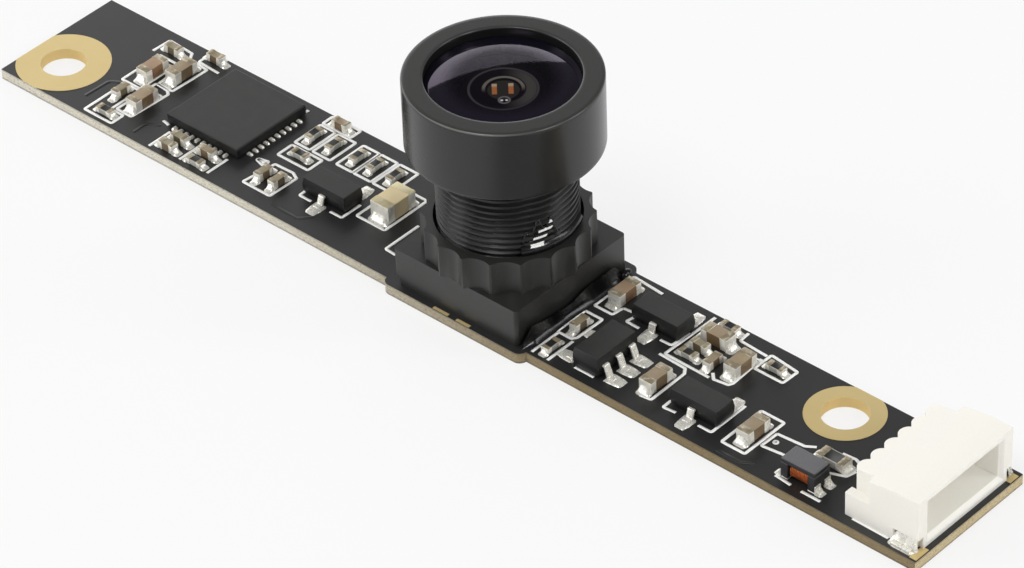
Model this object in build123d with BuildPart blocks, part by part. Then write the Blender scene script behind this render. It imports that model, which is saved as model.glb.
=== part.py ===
from build123d import *
import math
import os

# A fixed-focus camera module on a narrow board, in millimetres.
# The board lies flat with its back face on Z = 0 and its length along X.
# The origin is the centre of the board's back face, the lens looks along +Z,
# and the cable socket opens towards +X. "Near" is the -Y side, "far" the +Y side.

os.makedirs("parts", exist_ok=True)

# Board
BOARD_WIDTH = 8.0
BOARD_THICKNESS = 0.6
WIDE_SIDE_MARGIN = 0.4      # board left showing past the holder's near and far sides
WIDE_END_MARGIN = 0.55      # the same past its two ends
WIDE_CORNER = 0.45
MASK_THICKNESS = 0.02       # lacquer coat that the bare metal rings lie in
RING_PROUD = 0.02           # how far a ring stands out of the coat

# Mounting holes, each ringed with metal
HOLE_RADIUS = 1.2
LEFT_RING_RADIUS = 2.5
RIGHT_RING_RADIUS = 2.0
LEFT_HOLE_FROM_END = 2.1
LEFT_HOLE_FROM_NEAR_EDGE = 2.45
RIGHT_HOLE_FROM_FAR_EDGE = 1.83

# Distances along the board, from one landmark to the next
LEFT_HOLE_TO_CONTROLLER = 10.35
CONTROLLER_TO_LENS = 19.35
LENS_TO_RIGHT_HOLE = 19.15
RIGHT_HOLE_TO_SOCKET = 4.5
SOCKET_FROM_END = 0.3
LAYOUT_GRID = 0.05          # placing grid of the small parts

# Lens holder: a square base with a scalloped collar, moulded as one piece
HOLDER_SIDE = 8.0
HOLDER_BASE_HEIGHT = 2.1
HOLDER_WALL = 0.6
HOLDER_ROOF = 0.7
HOLDER_CORNER = 0.2
COLLAR_RADIUS = 4.28
COLLAR_HEIGHT = 1.8
SCALLOP_COUNT = 18
SCALLOP_DEPTH = 0.3
SCALLOP_LAND = 0.06         # how far outside the collar the scallops would meet
LEAD_IN_WIDTH = 0.13
LEAD_IN_DEPTH = 0.5
RELIEF_WIDTH = 0.8          # notch under the near left corner of the base
RELIEF_HEIGHT = 0.45

# Lens barrel
THREAD_RADIUS = 3.5
THREAD_CLEARANCE = 0.03
THREAD_SHOWN = 4.35         # from the collar's top to the underside of the head
THREAD_ENGAGED = 2.3        # from the collar's top down to the barrel's foot
HEAD_RADIUS = 4.88
HEAD_HEIGHT = 3.85
HEAD_CHAMFER = 0.1
HEAD_UNDER_CHAMFER = 0.12
MOUTH_RADIUS = 3.8
MOUTH_CHAMFER = 0.06
GLASS_RECESS = 0.5

# Optical stack, from the front to the back
GLASS_CLEARANCE = 0.02
STACK_RADIUS = 2.75
FRONT_LENS_EDGE = 1.0
FRONT_LENS_CROWN = 0.42
FRONT_LENS_HOLLOW_RADIUS = 2.3
FRONT_LENS_HOLLOW = 0.3
BAFFLE_HEIGHT = 1.6
BAFFLE_MOUTH_RADIUS = 2.4
BAFFLE_THROAT_RADIUS = 1.7
SECOND_LENS_EDGE = 1.3
SECOND_LENS_CLEAR_RADIUS = 1.65
SECOND_LENS_CROWN = 0.25
STOP_RING_HEIGHT = 2.2
STOP_RING_WALL = 0.5
STOP_WEB = 0.15
STOP_RADIUS = 0.75
REAR_LENS_EDGE = 1.6
REAR_LENS_CLEAR_RADIUS = 1.9
REAR_LENS_CROWN = 0.3
REAR_THROAT_RADIUS = 2.1
FILTER_RADIUS = 2.6
FILTER_THICKNESS = 0.3
FILTER_RECESS = 0.1

# Drop of adhesive that locks the thread at the collar's mouth
ADHESIVE_START_ANGLE = -38
ADHESIVE_SWEEP = 66
ADHESIVE_RISE = 0.5
ADHESIVE_BULGE = 0.2        # how far it stands out from the thread, half-way up

# Image sensor under the holder
SENSOR_LENGTH = 5.4
SENSOR_WIDTH = 4.4
SENSOR_HEIGHT = 0.7
SENSOR_GLASS_MARGIN = 0.35
SENSOR_GLASS_STEP = 0.15

# Controller: a flat square chip with ten pads along each side
CONTROLLER_SIDE = 5.0
CONTROLLER_HEIGHT = 0.6
CONTROLLER_Y = 0.7
CONTROLLER_CHAMFER = 0.05
PADS_PER_SIDE = 10
PAD_PITCH = 0.4
PAD_WIDTH = 0.22
PAD_THICKNESS = 0.05
PAD_INWARD = 0.4
PAD_OUTWARD = 0.3
PAD_CLIMB = 0.18            # how far the solder climbs up the chip's side

# Small moulded parts with bent leads
MOULDED_LENGTH = 2.9
TRANSISTOR_WIDTH = 1.35
REGULATOR_WIDTH = 1.6
TRANSISTOR_HEIGHT = 0.95
REGULATOR_HEIGHT = 1.2
MOULDED_STANDOFF = 0.08
MOULDED_DRAFT = 8
LEAD_PITCH = 0.95
LEAD_WIDTH = 0.4
LEAD_THICKNESS = 0.13
TRANSISTOR_LEAD_HEIGHT = 0.5        # middle of the lead where it leaves the body
REGULATOR_LEAD_HEIGHT = 0.68
LEAD_SHOULDER = 0.16
LEAD_FOOT = 0.3
TRANSISTOR_LEAD_REACH = 0.6
REGULATOR_LEAD_REACH = 0.7

# Ceramic chip parts: length, width and height of each standard size
CAPACITOR_LARGE = (1.6, 0.8, 0.7)
CAPACITOR_SMALL = (1.0, 0.5, 0.5)
RESISTOR_LARGE = (1.6, 0.8, 0.45)
RESISTOR_SMALL = (1.0, 0.5, 0.35)
CAPACITOR_BULK = (2.0, 1.25, 1.0)
CAP_SHARE = 0.24            # share of the length that each end cap wraps
CAP_PROUD = 0.02

# Choke: a ferrite bobbin and top plate with a copper winding between its flanges
CHOKE_LENGTH = 2.0
CHOKE_WIDTH = 1.15
CHOKE_FLANGE = 0.4
CHOKE_FLANGE_HEIGHT = 0.85
CHOKE_POST_WIDTH = 0.65
CHOKE_POST_HEIGHT = 0.35
CHOKE_PLATE = 0.28
CHOKE_CHAMFER = 0.05
CHOKE_TERMINAL = 0.06
CHOKE_TERMINAL_GAP = 0.3
WIRE_BUILD = 0.16           # thickness of the wound wire on the post
WIRE_GAP = 0.02

# Socket: a white side-entry housing with five contacts and two fixing tabs
CONTACT_COUNT = 5
CONTACT_PITCH = 1.0
SOCKET_END_WIDTH = 1.5      # housing past the outermost contact, each end
SOCKET_DEPTH = 4.25
SOCKET_HEIGHT = 2.95
SOCKET_Y = 0.05
SOCKET_FLOOR = 0.45
SOCKET_ROOF = 0.45
SOCKET_SIDE = 0.85
SOCKET_BACK = 1.0
SOCKET_MOUTH_FLARE = 0.2
ROOF_FALL_LENGTH = 3.0      # the roof falls gently over this length, down to the rear
SOCKET_REAR_HEIGHT = 2.5
POST_RADIUS = 0.47          # rounded posts along the rear, one each side of every contact
POST_PROUD = 0.3            # how far they stand out behind the housing
SHOULDER_WIDTH = 0.5        # low step at each rear corner
SHOULDER_DEPTH = 1.35
SHOULDER_HEIGHT = 1.35
CONTACT_WIDTH = 0.28
CONTACT_THICKNESS = 0.2
CONTACT_HEIGHT = 1.45
CONTACT_REACH = 1.95
CONTACT_FOOT = 0.55
CONTACT_GAP = 0.02
TAB_LENGTH = 1.1
TAB_THICKNESS = 0.2
TAB_FOOT = 0.35             # how far the foot reaches past the housing's side
TAB_FROM_MOUTH = 0.25
RECESS_DEPTH = 0.4          # recess at each front corner that the tab stands in
RECESS_LENGTH = 1.45
RECESS_HEIGHT = 0.7

# What follows from the sizes above
LEFT_REACH = LEFT_HOLE_FROM_END + LEFT_HOLE_TO_CONTROLLER + CONTROLLER_TO_LENS
RIGHT_REACH = LENS_TO_RIGHT_HOLE + RIGHT_HOLE_TO_SOCKET + SOCKET_DEPTH + SOCKET_FROM_END
BOARD_LENGTH = LEFT_REACH + RIGHT_REACH
BOARD_TOP = BOARD_THICKNESS

LEFT_HOLE_X = -BOARD_LENGTH / 2 + LEFT_HOLE_FROM_END
LEFT_HOLE_Y = -BOARD_WIDTH / 2 + LEFT_HOLE_FROM_NEAR_EDGE
CONTROLLER_X = LEFT_HOLE_X + LEFT_HOLE_TO_CONTROLLER
LENS_X = CONTROLLER_X + CONTROLLER_TO_LENS
RIGHT_HOLE_X = LENS_X + LENS_TO_RIGHT_HOLE
RIGHT_HOLE_Y = BOARD_WIDTH / 2 - RIGHT_HOLE_FROM_FAR_EDGE
SOCKET_REAR_X = RIGHT_HOLE_X + RIGHT_HOLE_TO_SOCKET
SOCKET_MOUTH_X = SOCKET_REAR_X + SOCKET_DEPTH

WIDE_LENGTH = HOLDER_SIDE + 2 * WIDE_END_MARGIN
WIDE_WIDTH = HOLDER_SIDE + 2 * WIDE_SIDE_MARGIN

# Heights in the lens plane are measured from the board's front face
COLLAR_TOP = HOLDER_BASE_HEIGHT + COLLAR_HEIGHT
HEAD_UNDERSIDE = COLLAR_TOP + THREAD_SHOWN
HEAD_TOP = HEAD_UNDERSIDE + HEAD_HEIGHT
BARREL_FOOT = COLLAR_TOP - THREAD_ENGAGED
BORE_RADIUS = THREAD_RADIUS + THREAD_CLEARANCE
FRONT_GLASS_EDGE = HEAD_TOP - GLASS_RECESS
FRONT_SEAT = FRONT_GLASS_EDGE - FRONT_LENS_EDGE
SECOND_LENS_TOP = FRONT_SEAT - BAFFLE_HEIGHT
STOP_RING_TOP = SECOND_LENS_TOP - SECOND_LENS_EDGE
REAR_LENS_TOP = STOP_RING_TOP - STOP_RING_HEIGHT
REAR_SEAT = REAR_LENS_TOP - REAR_LENS_EDGE
FILTER_TOP = BARREL_FOOT + FILTER_RECESS + FILTER_THICKNESS
STACK_PIECE_RADIUS = STACK_RADIUS - GLASS_CLEARANCE

LENS_AXIS = Axis((LENS_X, 0, 0), (0, 0, 1))
LENS_PLANE = Plane(origin=(LENS_X, 0, BOARD_TOP), x_dir=(1, 0, 0), z_dir=(0, -1, 0))
UP = Vector(0, 0, 1)


def board_outline():
    """Draws the board's outline in the open sketch: a strip with a wider middle."""
    Rectangle(BOARD_LENGTH, BOARD_WIDTH)
    with Locations((LENS_X, 0)):
        RectangleRounded(WIDE_LENGTH, WIDE_WIDTH, WIDE_CORNER)


MOUNTING_HOLES = (
    ("ring_pad_left", LEFT_HOLE_X, LEFT_HOLE_Y, LEFT_RING_RADIUS),
    ("ring_pad_right", RIGHT_HOLE_X, RIGHT_HOLE_Y, RIGHT_RING_RADIUS),
)

# Board, with a hole and a round opening in its lacquer at each mounting hole
with BuildPart() as circuit_board:
    with BuildSketch():
        board_outline()
    extrude(amount=BOARD_THICKNESS)
    for name, hole_x, hole_y, ring_radius in MOUNTING_HOLES:
        with BuildSketch():
            with Locations((hole_x, hole_y)):
                Circle(HOLE_RADIUS)
        extrude(amount=BOARD_THICKNESS, mode=Mode.SUBTRACT)
        with BuildSketch(Plane.XY.offset(BOARD_THICKNESS - MASK_THICKNESS)):
            with Locations((hole_x, hole_y)):
                Circle(ring_radius)
        extrude(amount=MASK_THICKNESS, mode=Mode.SUBTRACT)
circuit_board.part.label = "circuit_board"
export_step(circuit_board.part, "parts/circuit_board.step")


# Metal ring of each mounting hole, trimmed where it reaches the board's edge
for name, hole_x, hole_y, ring_radius in MOUNTING_HOLES:
    with BuildPart() as ring_pad:
        with BuildSketch(Plane.XY.offset(BOARD_THICKNESS - MASK_THICKNESS)):
            board_outline()
            with Locations((hole_x, hole_y)):
                Circle(ring_radius, mode=Mode.INTERSECT)
                Circle(HOLE_RADIUS, mode=Mode.SUBTRACT)
        extrude(amount=MASK_THICKNESS + RING_PROUD)
    ring_pad.part.label = name
    export_step(ring_pad.part, f"parts/{name}.step")


# Lens holder: the hollow base over the sensor and the scalloped collar above it
scallop_meeting = COLLAR_RADIUS + SCALLOP_LAND
scallop_half_angle = math.pi / SCALLOP_COUNT
scallop_floor = COLLAR_RADIUS - SCALLOP_DEPTH
scallop_sag = scallop_meeting * math.cos(scallop_half_angle) - scallop_floor
scallop_half_chord = scallop_meeting * math.sin(scallop_half_angle)
scallop_radius = (scallop_sag ** 2 + scallop_half_chord ** 2) / (2 * scallop_sag)
holder_cavity_side = HOLDER_SIDE - 2 * HOLDER_WALL
holder_cavity_height = HOLDER_BASE_HEIGHT - HOLDER_ROOF

with BuildPart() as lens_holder:
    with BuildSketch(Plane.XY.offset(BOARD_TOP)):
        with Locations((LENS_X, 0)):
            RectangleRounded(HOLDER_SIDE, HOLDER_SIDE, HOLDER_CORNER)
    extrude(amount=HOLDER_BASE_HEIGHT)
    with BuildSketch(Plane.XY.offset(BOARD_TOP + HOLDER_BASE_HEIGHT)):
        with Locations((LENS_X, 0)):
            Circle(COLLAR_RADIUS)
            with PolarLocations(scallop_floor + scallop_radius, SCALLOP_COUNT, 180 / SCALLOP_COUNT):
                Circle(scallop_radius, mode=Mode.SUBTRACT)
    extrude(amount=COLLAR_HEIGHT)
    with BuildSketch(Plane.XY.offset(BOARD_TOP)):
        with Locations((LENS_X, 0)):
            Rectangle(holder_cavity_side, holder_cavity_side)
    extrude(amount=holder_cavity_height, mode=Mode.SUBTRACT)
    with BuildSketch(LENS_PLANE):
        with BuildLine():
            Polyline(
                (0, holder_cavity_height),
                (BORE_RADIUS, holder_cavity_height),
                (BORE_RADIUS, COLLAR_TOP - LEAD_IN_DEPTH),
                (BORE_RADIUS + LEAD_IN_WIDTH, COLLAR_TOP - LEAD_IN_DEPTH + LEAD_IN_WIDTH),
                (BORE_RADIUS + LEAD_IN_WIDTH, COLLAR_TOP),
                (0, COLLAR_TOP),
                close=True,
            )
        make_face()
    revolve(axis=LENS_AXIS, mode=Mode.SUBTRACT)
    with BuildSketch(Plane.XY.offset(BOARD_TOP)):
        with Locations((LENS_X - HOLDER_SIDE / 2, -HOLDER_SIDE / 2)):
            Rectangle(RELIEF_WIDTH, RELIEF_WIDTH)
    extrude(amount=RELIEF_HEIGHT, mode=Mode.SUBTRACT)
lens_holder.part.label = "lens_holder"
export_step(lens_holder.part, "parts/lens_holder.step")


# Lens barrel: a threaded stem under a wide head, bored in steps for the glass
with BuildPart() as lens_barrel:
    with BuildSketch(LENS_PLANE):
        with BuildLine():
            Polyline(
                (THREAD_RADIUS, BARREL_FOOT),
                (THREAD_RADIUS, HEAD_UNDERSIDE),
                (HEAD_RADIUS - HEAD_UNDER_CHAMFER, HEAD_UNDERSIDE),
                (HEAD_RADIUS, HEAD_UNDERSIDE + HEAD_UNDER_CHAMFER),
                (HEAD_RADIUS, HEAD_TOP - HEAD_CHAMFER),
                (HEAD_RADIUS - HEAD_CHAMFER, HEAD_TOP),
                (MOUTH_RADIUS + MOUTH_CHAMFER, HEAD_TOP),
                (MOUTH_RADIUS, HEAD_TOP - MOUTH_CHAMFER),
                (MOUTH_RADIUS, FRONT_SEAT),
                (STACK_RADIUS, FRONT_SEAT),
                (STACK_RADIUS, REAR_SEAT),
                (REAR_THROAT_RADIUS, REAR_SEAT),
                (REAR_THROAT_RADIUS, FILTER_TOP),
                (FILTER_RADIUS, FILTER_TOP),
                (FILTER_RADIUS, BARREL_FOOT),
                close=True,
            )
        make_face()
    revolve(axis=LENS_AXIS)
lens_barrel.part.label = "lens_barrel"
export_step(lens_barrel.part, "parts/lens_barrel.step")


# Front lens: a domed disc of glass, hollowed behind
with BuildPart() as front_lens:
    glass_radius = MOUTH_RADIUS - GLASS_CLEARANCE
    with BuildSketch(LENS_PLANE):
        with BuildLine():
            RadiusArc(
                (0, FRONT_GLASS_EDGE + FRONT_LENS_CROWN),
                (glass_radius, FRONT_GLASS_EDGE),
                (glass_radius ** 2 + FRONT_LENS_CROWN ** 2) / (2 * FRONT_LENS_CROWN),
            )
            Line((glass_radius, FRONT_GLASS_EDGE), (glass_radius, FRONT_SEAT))
            Line((glass_radius, FRONT_SEAT), (FRONT_LENS_HOLLOW_RADIUS, FRONT_SEAT))
            RadiusArc(
                (FRONT_LENS_HOLLOW_RADIUS, FRONT_SEAT),
                (0, FRONT_SEAT + FRONT_LENS_HOLLOW),
                -(FRONT_LENS_HOLLOW_RADIUS ** 2 + FRONT_LENS_HOLLOW ** 2) / (2 * FRONT_LENS_HOLLOW),
            )
            Line((0, FRONT_SEAT + FRONT_LENS_HOLLOW), (0, FRONT_GLASS_EDGE + FRONT_LENS_CROWN))
        make_face()
    revolve(axis=LENS_AXIS)
front_lens.part.label = "front_lens"
export_step(front_lens.part, "parts/front_lens.step")


# Baffle ring: a cone that narrows from the front lens to the second one
with BuildPart() as baffle_ring:
    with BuildSketch(LENS_PLANE):
        with BuildLine():
            Polyline(
                (BAFFLE_THROAT_RADIUS, SECOND_LENS_TOP),
                (STACK_PIECE_RADIUS, SECOND_LENS_TOP),
                (STACK_PIECE_RADIUS, FRONT_SEAT),
                (BAFFLE_MOUTH_RADIUS, FRONT_SEAT),
                close=True,
            )
        make_face()
    revolve(axis=LENS_AXIS)
baffle_ring.part.label = "baffle_ring"
export_step(baffle_ring.part, "parts/baffle_ring.step")


def half_lens(domed, flat, clear_radius, crown):
    """Draws half the section of a lens, domed at one height and flat at the other."""
    rise = math.copysign(crown, domed - flat)
    RadiusArc((0, domed + rise), (clear_radius, domed), (clear_radius ** 2 + rise ** 2) / (2 * rise))
    Line((clear_radius, domed), (STACK_PIECE_RADIUS, domed))
    Line((STACK_PIECE_RADIUS, domed), (STACK_PIECE_RADIUS, flat))
    Line((STACK_PIECE_RADIUS, flat), (0, flat))
    Line((0, flat), (0, domed + rise))


# The two inner lenses turn their domed faces to each other, towards the light stop
with BuildPart() as second_lens:
    with BuildSketch(LENS_PLANE):
        with BuildLine():
            half_lens(STOP_RING_TOP, SECOND_LENS_TOP, SECOND_LENS_CLEAR_RADIUS, SECOND_LENS_CROWN)
        make_face()
    revolve(axis=LENS_AXIS)
second_lens.part.label = "second_lens"
export_step(second_lens.part, "parts/second_lens.step")


# Stop ring: spaces the two inner lenses and holds the light stop half-way between them
with BuildPart() as stop_ring:
    stop_inner = STACK_PIECE_RADIUS - STOP_RING_WALL
    stop_middle = STOP_RING_TOP - STOP_RING_HEIGHT / 2
    with BuildSketch(LENS_PLANE):
        with BuildLine():
            Polyline(
                (stop_inner, REAR_LENS_TOP),
                (STACK_PIECE_RADIUS, REAR_LENS_TOP),
                (STACK_PIECE_RADIUS, STOP_RING_TOP),
                (stop_inner, STOP_RING_TOP),
                (stop_inner, stop_middle + STOP_WEB / 2),
                (STOP_RADIUS, stop_middle + STOP_WEB / 2),
                (STOP_RADIUS, stop_middle - STOP_WEB / 2),
                (stop_inner, stop_middle - STOP_WEB / 2),
                close=True,
            )
        make_face()
    revolve(axis=LENS_AXIS)
stop_ring.part.label = "stop_ring"
export_step(stop_ring.part, "parts/stop_ring.step")


with BuildPart() as rear_lens:
    with BuildSketch(LENS_PLANE):
        with BuildLine():
            half_lens(REAR_LENS_TOP, REAR_SEAT, REAR_LENS_CLEAR_RADIUS, REAR_LENS_CROWN)
        make_face()
    revolve(axis=LENS_AXIS)
rear_lens.part.label = "rear_lens"
export_step(rear_lens.part, "parts/rear_lens.step")


# Infrared filter: a flat disc of tinted glass in the barrel's foot
with BuildPart() as infrared_filter:
    with BuildSketch(Plane.XY.offset(BOARD_TOP + FILTER_TOP - FILTER_THICKNESS)):
        with Locations((LENS_X, 0)):
            Circle(FILTER_RADIUS - GLASS_CLEARANCE)
    extrude(amount=FILTER_THICKNESS)
infrared_filter.part.label = "infrared_filter"
export_step(infrared_filter.part, "parts/infrared_filter.step")


# Adhesive: a bead part of the way round the thread, in the collar's mouth
with BuildPart() as thread_adhesive:
    bead_foot = COLLAR_TOP - LEAD_IN_DEPTH + LEAD_IN_WIDTH
    bead_top = COLLAR_TOP + ADHESIVE_RISE
    bead_width = THREAD_CLEARANCE + LEAD_IN_WIDTH
    with BuildSketch(LENS_PLANE):
        with BuildLine():
            Polyline(
                (THREAD_RADIUS, bead_top),
                (THREAD_RADIUS, bead_foot),
                (THREAD_RADIUS + bead_width, bead_foot),
                (THREAD_RADIUS + bead_width, COLLAR_TOP),
            )
            ThreePointArc(
                (THREAD_RADIUS + bead_width, COLLAR_TOP),
                (THREAD_RADIUS + ADHESIVE_BULGE, COLLAR_TOP + ADHESIVE_RISE / 2),
                (THREAD_RADIUS, bead_top),
            )
        make_face()
    revolve(axis=LENS_AXIS, revolution_arc=ADHESIVE_SWEEP)
thread_adhesive.part = thread_adhesive.part.rotate(LENS_AXIS, ADHESIVE_START_ANGLE)
thread_adhesive.part.label = "thread_adhesive"
export_step(thread_adhesive.part, "parts/thread_adhesive.step")


# Image sensor: a low package with a stepped cover glass
with BuildPart() as image_sensor:
    with BuildSketch(Plane.XY.offset(BOARD_TOP)):
        with Locations((LENS_X, 0)):
            Rectangle(SENSOR_LENGTH, SENSOR_WIDTH)
    extrude(amount=SENSOR_HEIGHT - SENSOR_GLASS_STEP)
    with BuildSketch(Plane.XY.offset(BOARD_TOP + SENSOR_HEIGHT - SENSOR_GLASS_STEP)):
        with Locations((LENS_X, 0)):
            Rectangle(SENSOR_LENGTH - 2 * SENSOR_GLASS_MARGIN, SENSOR_WIDTH - 2 * SENSOR_GLASS_MARGIN)
    extrude(amount=SENSOR_GLASS_STEP)
image_sensor.part.label = "image_sensor"
export_step(image_sensor.part, "parts/image_sensor.step")


# Controller chip: a plain flat square package
with BuildPart() as controller_chip:
    with BuildSketch(Plane.XY.offset(BOARD_TOP + PAD_THICKNESS)):
        with Locations((CONTROLLER_X, CONTROLLER_Y)):
            Rectangle(CONTROLLER_SIDE, CONTROLLER_SIDE)
    extrude(amount=CONTROLLER_HEIGHT - PAD_THICKNESS)
    chamfer(controller_chip.faces().sort_by(Axis.Z)[-1].edges(), CONTROLLER_CHAMFER)
controller_chip.part.label = "controller_chip"
export_step(controller_chip.part, "parts/controller_chip.step")


def side_plane(x, y, outward):
    """A vertical plane through a point on the board's front face: its x runs outward, its y up."""
    return Plane(origin=(x, y, BOARD_TOP), x_dir=outward, z_dir=Vector(*outward).cross(UP))


# Controller pads: a tinned strip under each side, with solder climbing the chip's edge
with BuildPart() as controller_pads:
    for side in range(4):
        outward = (round(math.cos(side * math.pi / 2)), round(math.sin(side * math.pi / 2)), 0)
        for index in range(PADS_PER_SIDE):
            along = (index - (PADS_PER_SIDE - 1) / 2) * PAD_PITCH
            pad_x = CONTROLLER_X + outward[0] * CONTROLLER_SIDE / 2 - outward[1] * along
            pad_y = CONTROLLER_Y + outward[1] * CONTROLLER_SIDE / 2 + outward[0] * along
            with BuildSketch(side_plane(pad_x, pad_y, outward)):
                with BuildLine():
                    Polyline(
                        (-PAD_INWARD, 0),
                        (PAD_OUTWARD, 0),
                        (PAD_OUTWARD, PAD_THICKNESS),
                        (0, PAD_THICKNESS + PAD_CLIMB),
                        (0, PAD_THICKNESS),
                        (-PAD_INWARD, PAD_THICKNESS),
                        close=True,
                    )
                make_face()
            extrude(amount=PAD_WIDTH / 2, both=True)
controller_pads.part.label = "controller_pads"
export_step(controller_pads.part, "parts/controller_pads.step")


def grid_place(datum_x, steps_x, steps_y):
    """The point that lies so many grid steps from a landmark on the board's centre line."""
    return datum_x + steps_x * LAYOUT_GRID, steps_y * LAYOUT_GRID


def moulded_body(x, y, length, width, top, lead_height):
    """Draws a moulded body in the open part: a straight band at the leads, drafted above and below."""
    band_bottom = lead_height - LEAD_THICKNESS / 2
    band_top = lead_height + LEAD_THICKNESS / 2
    for height, amount, draft in (
        (band_bottom, LEAD_THICKNESS, 0),
        (band_top, top - band_top, MOULDED_DRAFT),
        (band_bottom, MOULDED_STANDOFF - band_bottom, MOULDED_DRAFT),
    ):
        with BuildSketch(Plane.XY.offset(BOARD_TOP + height)) as section:
            with Locations((x, y)):
                Rectangle(length, width)
        extrude(section.sketch, amount=amount, taper=draft)


def gull_lead(x, y, outward, reach, height):
    """Draws a bent lead in the open part, from a body's side down to its foot on the board."""
    half = LEAD_THICKNESS / 2
    bend = reach - LEAD_FOOT
    with BuildSketch(side_plane(x, y, outward)) as section:
        with BuildLine():
            Polyline(
                (0, height + half),
                (LEAD_SHOULDER, height + half),
                (bend, LEAD_THICKNESS),
                (reach, LEAD_THICKNESS),
                (reach, 0),
                (bend - LEAD_THICKNESS, 0),
                (LEAD_SHOULDER - half, height - half),
                (0, height - half),
                close=True,
            )
        make_face()
    extrude(section.sketch, amount=LEAD_WIDTH / 2, both=True)


# Three transistors, each with one lead on the near side and two on the far side
TRANSISTORS = (
    ("transistor_left", CONTROLLER_X, 167, -20),
    ("transistor_middle", LENS_X, 165, 36),
    ("transistor_right", LENS_X, 276, -38),
)
for name, datum_x, steps_x, steps_y in TRANSISTORS:
    body_x, body_y = grid_place(datum_x, steps_x, steps_y)
    with BuildPart() as transistor:
        moulded_body(
            body_x, body_y, MOULDED_LENGTH, TRANSISTOR_WIDTH, TRANSISTOR_HEIGHT, TRANSISTOR_LEAD_HEIGHT
        )
    transistor.part.label = name
    export_step(transistor.part, f"parts/{name}.step")

with BuildPart() as transistor_leads:
    for name, datum_x, steps_x, steps_y in TRANSISTORS:
        body_x, body_y = grid_place(datum_x, steps_x, steps_y)
        for offset, side in ((0, -1), (-LEAD_PITCH, 1), (LEAD_PITCH, 1)):
            gull_lead(
                body_x + offset,
                body_y + side * TRANSISTOR_WIDTH / 2,
                (0, side, 0),
                TRANSISTOR_LEAD_REACH,
                TRANSISTOR_LEAD_HEIGHT,
            )
transistor_leads.part.label = "transistor_leads"
export_step(transistor_leads.part, "parts/transistor_leads.step")


# Voltage regulator, turned across the board: three leads towards the socket and two towards the lens
REGULATOR_STEPS = (156, -39)
regulator_x, regulator_y = grid_place(LENS_X, *REGULATOR_STEPS)
with BuildPart() as regulator:
    moulded_body(
        regulator_x, regulator_y, REGULATOR_WIDTH, MOULDED_LENGTH, REGULATOR_HEIGHT, REGULATOR_LEAD_HEIGHT
    )
regulator.part.label = "regulator"
export_step(regulator.part, "parts/regulator.step")

with BuildPart() as regulator_leads:
    for end, rows in ((1, (-1, 0, 1)), (-1, (-1, 1))):
        for row in rows:
            gull_lead(
                regulator_x + end * REGULATOR_WIDTH / 2,
                regulator_y + row * LEAD_PITCH,
                (end, 0, 0),
                REGULATOR_LEAD_REACH,
                REGULATOR_LEAD_HEIGHT,
            )
regulator_leads.part.label = "regulator_leads"
export_step(regulator_leads.part, "parts/regulator_leads.step")


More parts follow.
